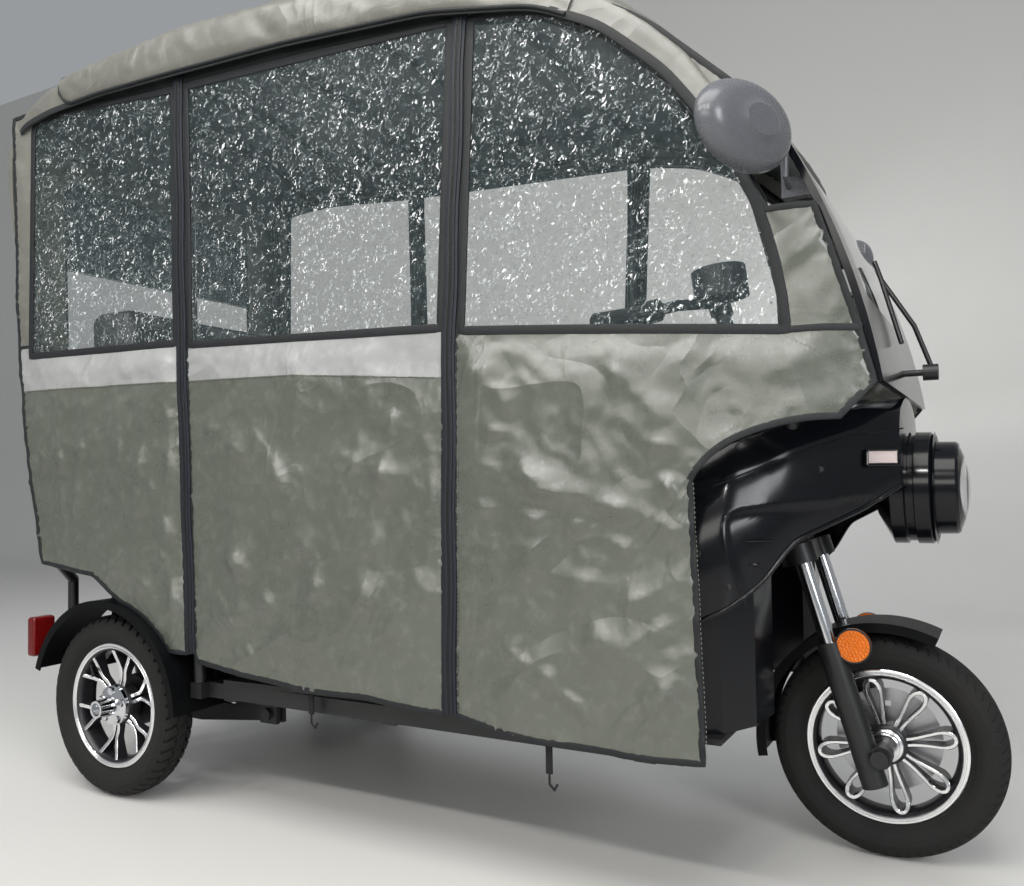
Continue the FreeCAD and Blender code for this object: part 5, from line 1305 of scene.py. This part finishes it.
def section_out(points, i):
    """Outward direction across a half section at one of its points."""
    a, b = Vector(points[max(i - 1, 0)]), Vector(points[min(i + 1, len(points) - 1)])
    d = (b - a).normalized()
    return Vector((-d.y, d.x))


rows, along = roof_rows()
grid = []
for row, place in zip(rows, along):
    points = half_section(row)
    near_bow = max(math.exp(-((row[0] - x) / 26) ** 2) for x in BOWS_AT)
    made = []
    for i, (across, up) in enumerate(points):
        out = section_out(points, i)
        fade = smooth((i - 6) / 8)
        pucker = noise.fractal(Vector((place / 90, across / 60, up / 50)), 0.8, 2.0, 3) * 2.4
        sag = -6.0 * fade * (1 - near_bow) + pucker * (0.35 + 0.65 * fade)
        made.append(roof_place(row, across + out.x * sag, up + out.y * sag))
    grid.append(both_halves(made))
top_row, count = grid[0], len(grid[0])
# The skirt's hem, in millimetres: its sides, its rounded corners and its back
SKIRT_LOW, SKIRT_HALF, SKIRT_BACK, CORNER = 1284, 456, -372, 16
SIDE_POINTS, TURN_POINTS = 8, 8
low_row = []
for i, p in enumerate(top_row):
    k = min(i, count - 1 - i)
    side = -1 if i < count / 2 else 1
    if k < SIDE_POINTS:
        x, y = -350 - 6 * k / 7, SKIRT_HALF
    elif k < SIDE_POINTS + TURN_POINTS:
        t = (k - SIDE_POINTS + 1) / TURN_POINTS * math.pi / 2
        x, y = SKIRT_BACK + CORNER - CORNER * math.sin(t), SKIRT_HALF - CORNER + CORNER * math.cos(t)
    else:
        x, y = SKIRT_BACK, abs(p.y) * 1000 * (SKIRT_HALF - CORNER) / (SKIRT_HALF - 18)
    low_row.append(Vector((REAR_AXLE + x / 1000, side * y / 1000, SKIRT_LOW / 1000)))
skirt = []
for t in np.linspace(1, 0, 12)[:-1]:
    bow = Vector((-0.012 * math.sin(math.pi * t), 0, 0))
    fade = math.sin(math.pi * min(t + 0.15, 1))
    made = []
    for i, (a, b) in enumerate(zip(top_row, low_row)):
        edge = smooth(min(i, count - 1 - i) / 6)
        wave = noise.fractal(Vector((a.y * 7, t * 2, 4)), 0.8, 2.0, 2) * 0.004 * edge * fade
        made.append(a.lerp(b, t) + bow + Vector((wave, 0, 0)))
    skirt.append(made)
roof_grid = skirt + grid


def thick_sheet(name, grid, thick, outer, inner, inward, sharp=60):
    """A closed thin sheet on a grid of points; the inner skin lies towards the inward point."""
    p = np.array([[tuple(v) for v in row] for row in grid])
    du, dv = np.gradient(p, axis=0), np.gradient(p, axis=1)
    normal = np.cross(du, dv)
    normal /= np.maximum(np.linalg.norm(normal, axis=2, keepdims=True), 1e-9)
    toward = np.array(inward) - p
    normal *= np.sign((normal * toward).sum(2))[:, :, None]
    r, c = p.shape[:2]
    inner_p = p + normal * thick
    verts = np.concatenate([p.reshape(-1, 3), inner_p.reshape(-1, 3)])
    n, faces, picks = r * c, [], []
    for i in range(r - 1):
        for j in range(c - 1):
            a, b, d, e = i * c + j, i * c + j + 1, (i + 1) * c + j + 1, (i + 1) * c + j
            faces += [(a, b, d, e), (e + n, d + n, b + n, a + n)]
            picks += [0, 1]
    border = [(0, j) for j in range(c)] + [(i, c - 1) for i in range(1, r)]
    border += [(r - 1, j) for j in range(c - 2, -1, -1)] + [(i, 0) for i in range(r - 2, 0, -1)]
    ids = [i * c + j for i, j in border]
    for a, b in zip(ids, ids[1:] + ids[:1]):
        faces.append((a, b, b + n, a + n))
        picks.append(0)
    return piece(name, verts, faces, [outer, inner], sharp=sharp, picks=picks)


# The inner skin takes the lining that is painted dark as the cab's shade
canopy = thick_sheet("roof_sheet", roof_grid, SHEET, ROOF, PAINTED_SHADE_LINING, (-0.1, 0, 1.2))
declared(canopy, "roof_cloth", "roof_canopy")
for label, side in SIDES.items():
    hem = [Vector((p.x, p.y * -side, p.z)) for p in low_row[:count // 2 + 1]]
    path = [(p + Vector((-0.001, side * 0.001, 0.006)), (-0.4, side, 0)) for p in hem[:14]]
    path += [(p + Vector((-0.002, 0, 0.006)), (-1, 0, 0)) for p in hem[16:]]
    tape(f"skirt_hem_{label}", [path], 0.014, 0.003, TAPE)
    line = [(roof_place(row, side * (row[4] + 1.2), 4), (0, side, 0.1)) for row in rows if row[0] > -345]
    tape(f"roof_edge_band_{label}", [line], 0.016, 0.004, TAPE)
print("roof", len(canopy.data.polygons))

# %% [markdown]
# ### Padded side flaps
# Each flap has a rounded rear end, black piping round its edge, and puckers where the piping gathers it.

# %%
FLAP_START, FLAP_END, FLAP_CORNER = -176, 1180, 62  # in millimetres from the rear axle
FLAP_LOW, FLAP_TOP, FLAP_POINTS = 0.03, 0.62, 15  # shares of a section's lower 20 steps; points across
for label, side in SIDES.items():
    stations = [row for row in rows if FLAP_START <= row[0] <= FLAP_END]
    sections, piping = [], []
    for row in stations:
        points = half_section(row)
        away = row[0] - FLAP_START
        round_off = 1 - math.sqrt(max(0.0, 1 - (1 - min(away / FLAP_CORNER, 1)) ** 2))
        tail = smooth((FLAP_END - row[0]) / 260)
        us = np.linspace(FLAP_LOW + FLAP_TOP * round_off, FLAP_TOP, FLAP_POINTS)
        outer, inner = [], []
        for n, u in enumerate(us):
            at = u * 20
            i = int(at)
            a, b = Vector(points[i]), Vector(points[i + 1])
            spot, out = a.lerp(b, at - i), section_out(points, i)
            puff = 3.2 + 9.5 * math.sin(math.pi * n / (FLAP_POINTS - 1)) ** 0.6 * tail * (
                0.55 + 0.45 * smooth(away / 60))
            crease = noise.fractal(Vector((row[0] / 34 + n * 0.16, n / 6, 3 * side)), 0.9, 2.1, 3)
            gather = 0.9 * math.sin(row[0] / 5.1 + crease * 2) * math.exp(-(n / 2.4) ** 2)
            puff += crease * 2.6 * min(1, n / 3) + gather
            p, q = spot + out * puff, spot + out * 0.6
            outer.append(roof_place(row, -side * p.x, p.y))
            inner.append(roof_place(row, -side * q.x, q.y))
            edge = spot + out * 4.2
            if n == 0:
                piping.append(roof_place(row, -side * edge.x, edge.y))
            elif row is stations[0]:
                piping.insert(0, roof_place(row, -side * edge.x, edge.y))
        sections.append(outer + inner[::-1])
    flap = declared(bars(f"roof_flap_{label}", [sections], ROOF, sharp=60), "roof_cloth")
    declared(bars(f"flap_piping_{label}", [rod_rings(piping, 0.0042, 8)], TAPE, sharp=50), "black_webbing")
print("flaps", len(stations))

# %% [markdown]
# ## Back wall
# The back wall leans with the rear of the side panels and has a wide window of the same vinyl.

# %%
BACK_LINE = [(-368, 1640), (-349, 1030), (-252, 524)]  # in millimetres from the rear axle
BACK_HALF, BACK_LOW, BACK_TOP = 0.451, 0.524, 1.585
BACK_OUTLINE = [(-BACK_HALF, BACK_LOW), (BACK_HALF, BACK_LOW), (BACK_HALF, BACK_TOP), (-BACK_HALF, BACK_TOP)]
BACK_WINDOW = [(-0.33, 1.06), (0.33, 1.06), (0.33, 1.52), (-0.33, 1.52)]


def back_wall(z):
    """How far back the wall lies at a height, in metres from the origin."""
    xs, zs = (np.array(BACK_LINE[::-1]) / 1000).T
    return -(REAR_AXLE + np.interp(z, zs, xs))


def stood_back(name, flat, faces, outer, thick, finish, sharp):
    """A sheet of the back wall, from points across and up it."""
    places, made = sheet_mesh(flat, faces, outer, -1, thick)
    return piece(name, [(y, x, z) for x, y, z in places], made, finish, sharp=sharp)


def back_path(points, proud, closed):
    """A path on the back wall through points across and up it."""
    return [((-float(back_wall(z)) - proud, y, z), (-1, 0, 0)) for y, z in spaced(points, LINE_GAP, closed)]


flat, faces = meshed(BACK_OUTLINE, [BACK_WINDOW], gap=0.014)
swell = rough_field(flat, 3.3, 91, 3, squash=0.5) * 0.006
still = edge_fade(flat, BACK_WINDOW, FADE) * smooth((BACK_HALF - np.abs(flat[:, 0])) / 0.04)
crumple = np.clip(rough_field(flat, 7, 93, 4, "ridge", 0.4, 1.4) - 0.9, 0, 1.4) * 0.003
outer = back_wall(flat[:, 1]) + 0.001 + np.clip(swell + crumple + 0.004, 0, 0.02) * still
wall = declared(stood_back("back_wall_sheet", flat, faces, outer, CLOTH, COVER, 75),
                "cover_cloth", "cover_back_panel")
flat, faces = meshed(BACK_WINDOW, gap=0.012)
wave = (rough_field(flat, 5, 95, 3) + 0.5) * 0.004 * edge_fade(flat, BACK_WINDOW, FADE)
outer = back_wall(flat[:, 1]) + 0.0012 + wave
back_pane = declared(stood_back("back_window_sheet", flat, faces, outer, VINYL, FILM, 85),
                     "clear_film", "back_window")
hem = [(-BACK_HALF, BACK_LOW + 0.008), (BACK_HALF, BACK_LOW + 0.008)]
paths = [(True, back_path(BACK_WINDOW, 0.003, True)), back_path(hem, 0.002, False)]
tape("back_binding", paths, 0.017, 0.004, TAPE)
print("back wall made")

# %% [markdown]
# ## Fairing, lamp and small front parts
# The fairing is drawn as one moulded shell: eased sections, a panel pressed in below a rounded groove, a
# seam under the hood and a rolled lower lip.

# %%
FAIRING = np.array([  # in millimetres from the front axle: x, half width, lower edge, side top, middle top
    (-262, 408, 462, 752, 800), (-190, 384, 495, 796, 828), (-142, 350, 535, 806, 837),
    (-100, 312, 600, 812, 844), (0, 222, 652, 822, 852), (56, 172, 692, 818, 848)], float)
PRESSED = [(-40, 668), (-115, 665), (-170, 659), (-188, 652), (-196, 636), (-193, 599), (-181, 551),
           (-166, 500), (-100, 470), (60, 600), (60, 660), (10, 669)]
HOOD_SEAM = [(-215, 694), (-181, 708), (-127, 733), (-69, 757), (-19, 775), (60, 788)]
LAMP_AT, LAMP_HOLE = (FRONT_AXLE + 0.08, 0.683), 0.1035  # the headlamp's middle; radius of its opening
SIDE_STEPS = 44  # points of a section's side, from its foot to its shoulder


def fairing_rows(step=4):
    """The shell's sections at even steps along it, eased where the table turns."""
    xs = np.arange(-262, 56.1, step)
    rows = np.stack([np.interp(xs, FAIRING[:, 0], FAIRING[:, k]) for k in range(5)], 1)
    for _ in range(8):
        rows[1:-1, 1:] = (rows[:-2, 1:] + 2 * rows[1:-1, 1:] + rows[2:, 1:]) / 4
    return rows


def fairing_section(row):
    """The right half of a section from its lower edge to the middle, as (across, height)."""
    _, half, low, side_top, top = row
    foot, shoulder = (-half * 0.985, low), (-half * 0.80, side_top)
    side = arc(foot, (-half, low + (side_top - low) * 0.45), shoulder, SIDE_STEPS)
    hood = arc(shoulder, (0, top), (half * 0.80, side_top), 28)[:14]
    return [foot] + side + hood


grid = []
rows = fairing_rows()
for row in rows:
    made = []
    section = fairing_section(row)
    spots = np.array([(row[0], z) for _, z in section])
    press = inside(spots, PRESSED) * smooth(nearest(spots, PRESSED[:8])[0] / 13)
    over_seam = spots[:, 1] - np.interp(row[0], *np.array(HOOD_SEAM).T)
    seam = smooth((nearest(spots, HOOD_SEAM)[0] < 60) * over_seam / 8)
    for i, (y, z) in enumerate(section):
        out = section_out(section, i)
        push = -4.5 * press[i] + 2.0 * seam[i]
        across, up = y + out.x * push, z + out.y * push
        made.append(Vector((FRONT_AXLE + row[0] / 1000, across / 1000, up / 1000)))
    grid.append(both_halves(made))
last = grid[-1]
for x, share in ((0.0565, 0.35), (0.0565, 1.0), (0.040, 1.0)):
    made = []
    for p in last:
        away = Vector((p.y, p.z - LAMP_AT[1]))
        ring_spot = away.normalized() * LAMP_HOLE
        spot = away.lerp(ring_spot, share)
        made.append(Vector((FRONT_AXLE + x, spot.x, spot.y + LAMP_AT[1])))
    grid.append(made)
shell = thick_sheet("fairing_shell", grid, SHEET, BLACK_GLOSS, BLACK_PLASTIC,
                    (FRONT_AXLE - 0.12, 0, 0.55), 34)
declared(shell, "black_gloss", "front_fairing")


def gloss_rods(name, lines):
    """Black rods of the fairing's own plastic."""
    declared(bars(name, lines, BLACK_GLOSS), "black_gloss")


gloss_rods("fairing_lips", [rod_rings([row[k] for row in grid[:len(rows)]], 0.0042, 10) for k in (0, -1)])


def on_fairing(x, z, side):
    """A place on the shell at a side-view point, with its outward direction."""
    row = rows[int(np.argmin(np.abs(rows[:, 0] - x)))]
    section = fairing_section(row)
    i = int(np.argmin([abs(h - z) for _, h in section[:SIDE_STEPS + 1]]))
    place = Vector((FRONT_AXLE + x / 1000, side * -section[i][0] / 1000, z / 1000))
    return place, Vector((0.3, side, 0.1)).normalized()


for label, side in SIDES.items():
    screws = [on_fairing(x, z, side) for x, z in ((-58, 720), (-187, 531), (-232, 585))]
    studs(f"fairing_screws_{label}", screws, SCREW, BLACK_PAINT, "black_paint")
    corners = [(8, 726), (54, 726), (54, 752), (8, 752)]
    frame_line = [on_fairing(x, z, side)[0] + Vector((0, side * 0.0075, 0))
                  for x, z in spaced(corners, 6) + corners[:1]]
    gloss_rods(f"signal_bezel_{label}", [rod_rings(frame_line, 0.003, 8)])
    for kind, points, radius in (("bead", PRESSED[1:8], 0.0016), ("seam", HOOD_SEAM, 0.0013)):
        line = rounded([on_fairing(*p, side)[0] for p in spaced(points, 9, False)], 0.006, 6)
        gloss_rods(f"fairing_{kind}_{label}", [rod_rings(line, radius, 8)])
    slits = []
    for a, b in (((-166, 605), (-123, 604)), ((-159, 566), (-141, 565))):
        line = [Vector(a).lerp(Vector(b), t) for t in np.linspace(0, 1, 6)]
        slits.append(rod_rings([on_fairing(p.x, p.y, side)[0] - Vector((0, side * 0.003, 0)) for p in line],
                               [0.0008, 0.0024, 0.003, 0.003, 0.0024, 0.0008], 8))
    gloss_rods(f"fairing_ribs_{label}", slits)
print("fairing", len(shell.data.polygons))

# %% [markdown]
# ### Headlamp and reflectors

# %%
def eye_pick(r0, y0, r1, y1):
    """The front of the lamp's eye is glass."""
    return int(min(y0, y1) > 0.044)


LAMP_PARTS = [  # name, profile of radius and forward, finishes, points round, slot
    ("lamp_dish", [(0.0145, 0.0322), (0.026, 0.0345), (0.042, 0.0385), (0.058, 0.0435), (0.0715, 0.0492),
                   (0.0725, 0.0486), (0.058, 0.0425), (0.042, 0.0375), (0.026, 0.0335), (0.0145, 0.0315)],
     [CHROME], 72, "chrome"),
    ("lamp_eye", [(0.0001, 0.0495), (0.0085, 0.0488), (0.0135, 0.0462), (0.0150, 0.0440), (0.0185, 0.0435),
                  (0.0190, 0.0350), (0.0001, 0.0345)], [BLACK_GLOSS, LAMP_CLEAR], 40, "black_gloss"),
    ("lamp_bead", [(LAMP_HOLE - 0.0005, 0.0186), (0.0965, 0.0206), (0.0955, 0.0186)],
     [BLACK_GLOSS], 96, "black_gloss")]
for name, profile, finishes, count, slot in LAMP_PARTS:
    made = turned(name, profile, (LAMP_AT[0], 0.0, LAMP_AT[1]), 1, finishes, count=count, axis="X",
                  pick=eye_pick if len(finishes) > 1 else None)
    declared(made, slot)
low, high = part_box("fork_reflectors")
RIM_PROFILE = [(0.0292, -0.006), (0.0312, -0.006), (0.0316, 0.0004), (0.0296, 0.0010), (0.0284, 0.0002)]
for label, side in SIDES.items():
    spot = Vector(((low[0] + high[0]) / 2, side * high[1], (low[2] + high[2]) / 2))
    declared(turned(f"reflector_rim_{label}", RIM_PROFILE, spot, side, BLACK_PLASTIC, "steering", 48),
             "black_plastic")
    prisms = [(round_axle(spot, r, side * 0.0002, t), (0, side, 0))
              for r in (0.006, 0.012, 0.018, 0.024) for t in turns_of(round(r * 900))]
    studs(f"reflector_prisms_{label}", prisms, PRISM, AMBER, "lamp_amber", "steering")
print("lamps made")

# %% [markdown]
# ## Seats
# The seats are foam in a leather-grained cover. Each is swelled by a short cloth simulation. Its channels
# are pressed in and its edge is piped afterwards.


# %%
SWELL_FRAMES = 20  # frames that the simulation runs for


def pad(name, low, high, node, channels, voxel, cap=0.014, pressure=4.0):
    """A cushion between two corners: a rounded block that is swelled by a cloth simulation, by no more
    than the cap. A channel is pressed in across an axis, at a place, with a width and a depth."""
    low, high = Vector(low), Vector(high)
    shrink = Vector((0.007, 0.007, 0.006))
    thin = int(np.argmin(high - low))
    mesh = bpy.data.meshes.new(name)
    work = bmesh.new()
    bmesh.ops.create_cube(work, size=1, matrix=Matrix.Translation((low + high) / 2)
                          @ Matrix.Diagonal((*(high - low - 2 * shrink), 1)))
    bmesh.ops.bevel(work, geom=work.edges, offset=min(high - low) * 0.22, segments=4, profile=0.6,
                    affect="EDGES")
    work.to_mesh(mesh)
    work.free()
    made = placed(name, mesh)
    remesh = made.modifiers.new("remesh", "REMESH")
    remesh.mode, remesh.voxel_size = "VOXEL", voxel
    applied(made)
    rest = np.array([tuple(v.co) for v in made.data.vertices])
    soft = made.modifiers.new("swell", "CLOTH")
    soft.settings.use_pressure, soft.settings.uniform_pressure_force = True, pressure
    soft.settings.quality, soft.settings.mass = 4, 0.3
    soft.settings.effector_weights.gravity = 0
    soft.point_cache.frame_start, soft.point_cache.frame_end = 1, SWELL_FRAMES
    for step in range(1, SWELL_FRAMES + 1):
        bpy.context.scene.frame_set(step)
    applied(made)
    moved = np.array([tuple(v.co) for v in made.data.vertices])
    bpy.context.scene.frame_set(1)
    move = moved - rest
    size = np.linalg.norm(move, axis=1, keepdims=True)
    moved = rest + move * np.minimum(1, cap / np.maximum(size, 1e-9))
    for axis, at, width, deep in channels:
        share = np.exp(-((moved[:, axis] - at) / width) ** 2)
        moved[:, thin] -= deep * share * np.sign(moved[:, thin] - (low[thin] + high[thin]) / 2)
    moved = np.clip(moved, np.array(low) + 0.0005, np.array(high) - 0.0005)
    made.data.vertices.foreach_set("co", moved.ravel())
    finer = made.modifiers.new("finer", "SUBSURF")
    finer.levels = finer.render_levels = 1
    applied(made)
    made.data.materials.append(SEAT)
    soften(made.data, 60)
    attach(made, "vehicle")
    declared(made, "seat_cover", node)
    return made


def snapped(made, loop, lift):
    """Points of a loop moved on to a piece's skin, and lifted off it."""
    data = made.data
    tree = BVHTree.FromPolygons([v.co for v in data.vertices], [tuple(p.vertices) for p in data.polygons])
    return [hit + normal * lift for hit, normal, _, _ in (tree.find_nearest(Vector(p)) for p in loop)]


SEATS = {"driver_seat": "driver_seat_cushion", "bench_seat": "bench_cushion", "bench_back": "bench_backrest"}
for name, node in SEATS.items():
    low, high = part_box(node)
    if name == "driver_seat":
        channels, voxel = [(0, low[0] + x, 0.008, 0.006) for x in (0.12, 0.24)], 0.011
    else:
        channels, voxel = [(1, y, 0.008, 0.008) for y in (-0.26, -0.13, 0.0, 0.13, 0.26)], 0.0155
    made = pad(name, low, high, node, channels, voxel)
    thin = int(np.argmin(np.array(high) - np.array(low)))
    first, second = (k for k in range(3) if k != thin)
    rim = []
    for a, b in ((low, low), (high, low), (high, high), (low, high)):
        p = [high[thin] - 0.014] * 3
        p[first], p[second] = a[first], b[second]
        rim.append(tuple(p))
    loop = snapped(made, spaced(rim, LINE_GAP), 0.0006)
    declared(bars(f"{name}_piping", [rod_rings(loop + loop[:2], 0.0035, 8)], SEAT), "seat_cover")
print("seats made")

# %% [markdown]
# ## Floor, lamps and camera
# The vehicle stands on a plain pale floor in front of a pale sweep. Large soft lamps overhead and to the
# right give the cloth its broad glints, and a row of small ones adds real glints to the crinkled vinyl, whose
# white specks are painted.
# The camera stands low, off the front right corner.

# %%
for made in SHAPES:
    made.hide_render = made.hide_viewport = True
FLOOR_HALF, SWEEP_BACK, SWEEP_HIGH, SWEEP_ROUND = 9.0, 4.2, 5.0, 1.2
foot = SWEEP_BACK - SWEEP_ROUND
profile = [(-FLOOR_HALF, 0.0), (foot, 0.0)]
profile += [(foot + SWEEP_ROUND * math.sin(t), SWEEP_ROUND - SWEEP_ROUND * math.cos(t))
            for t in np.linspace(0.1, 1.57, 12)]
profile += [(SWEEP_BACK, SWEEP_HIGH)]
floor = meshed_object("floor", *loft([[(x, y, z) for y, z in profile] for x in (-FLOOR_HALF, FLOOR_HALF)],
                                     closed_ring=False))
soften(floor.data, 60, outward=False)
pale = Finish("pale_floor", (0.62, 0.61, 0.59), 0.32)
pale.rough = 0.3 + pale.noise(5, 3) * 0.12
floor.data.materials.append(pale.done())


def lamp(name, place, aim, size, power, colour=(1, 1, 1)):
    """A soft rectangular lamp that faces a point."""
    data = bpy.data.lights.new(name, "AREA")
    data.shape, data.size, data.size_y = "RECTANGLE", size[0], size[1]
    data.energy, data.color = power, colour
    made = placed(name, data)
    made.location = place
    made.rotation_euler = (Vector(aim) - Vector(place)).to_track_quat("-Z", "Y").to_euler()


lamp("overhead", (0.2, -1.6, 3.4), (0.1, -0.2, 0.6), (3.6, 1.6), 95, (1.0, 0.985, 0.95))
lamp("right_wall", (0.4, -4.6, 1.9), (0.1, 0.0, 0.7), (3.4, 0.8), 46, (1.0, 0.98, 0.93))
lamp("front_right", (3.6, -2.6, 1.9), (0.7, 0.0, 0.6), (1.0, 1.6), 60, (0.95, 0.97, 1.0))
lamp("behind", (-1.6, 3.0, 2.8), (-0.1, 0.2, 0.9), (3.0, 1.6), 46, (0.9, 0.95, 1.0))
for i, x in enumerate((-1.7, -0.9, -0.1, 0.7, 1.5)):
    lamp(f"spot_{i}", (x, -3.1, 2.9), (x * 0.4, -0.4, 0.9), (0.16, 0.16), 13, (1.0, 0.98, 0.95))

world = bpy.data.worlds.new("room")
world.use_nodes = True
bpy.context.scene.world = world
sky = world.node_tree.nodes["Background"]
sky.inputs["Color"].default_value = (0.74, 0.78, 0.82, 1)
sky.inputs["Strength"].default_value = 0.42

# The camera: 31.6 mm on a 36 mm frame, 0.72 m above the floor
FOCAL_PX, FRAME_PX = 900, 1024
YAW, PITCH, ROLL = (math.radians(v) for v in (28.85, 2.07, -0.9))
ahead = Vector((-math.sin(YAW) * math.cos(PITCH), math.cos(YAW) * math.cos(PITCH), math.sin(PITCH)))
level = Vector((math.cos(YAW), math.sin(YAW), 0))
over = level.cross(ahead)
right = math.cos(ROLL) * level + math.sin(ROLL) * over
upward = math.cos(ROLL) * over - math.sin(ROLL) * level
data = bpy.data.cameras.new("camera")
data.sensor_width = 36
data.lens = 36 * FOCAL_PX / FRAME_PX
camera = placed("camera", data)
turn = Matrix((right, upward, -ahead)).transposed().to_4x4()
camera.matrix_world = Matrix.Translation((1.1385, -1.835, 0.7175)) @ turn
bpy.context.scene.camera = camera
bpy.context.scene.view_settings.view_transform = "Standard"

# %% [markdown]
# ## Cut sizes of the cloth
# The size that every sheet is cut to before it is sewn and hung is worked out. The walls and windows are cut
# to their outlines with a little ease. The roof is cut to the length over its middle and across its arch.

# %%
EASE = 1.015  # how much longer and wider the cloth is cut


def flat_area(ring):
    """Area inside a closed ring."""
    p = np.array(ring)
    q = np.roll(p, -1, 0)
    return abs(float((p[:, 0] * q[:, 1] - q[:, 0] * p[:, 1]).sum())) / 2


def cut_sheet(outline, holes):
    """Works out the area of a piece cut to an outline, less its holes, with the ease."""
    area = (flat_area(outline) - sum(flat_area(hole) for hole in holes)) * EASE ** 2


for name, steps in PANELS.items():
    for label in SIDES:
        window = trace(WINDOWS[name])
        panel, pane = (bpy.data.objects[f"{kind}_{name}_{label}"] for kind in ("cover", "window"))
        cut_sheet(trace(steps), [window])
        cut_sheet(window, [])
cut_sheet(BACK_OUTLINE, [BACK_WINDOW])
cut_sheet(BACK_WINDOW, [])


def length_of(points):
    """Length of a line of points."""
    return sum((b - a).length for a, b in zip(points, points[1:]))


arches = [length_of(row) for row in roof_grid]
roof_length = length_of([row[len(row) // 2] for row in roof_grid])
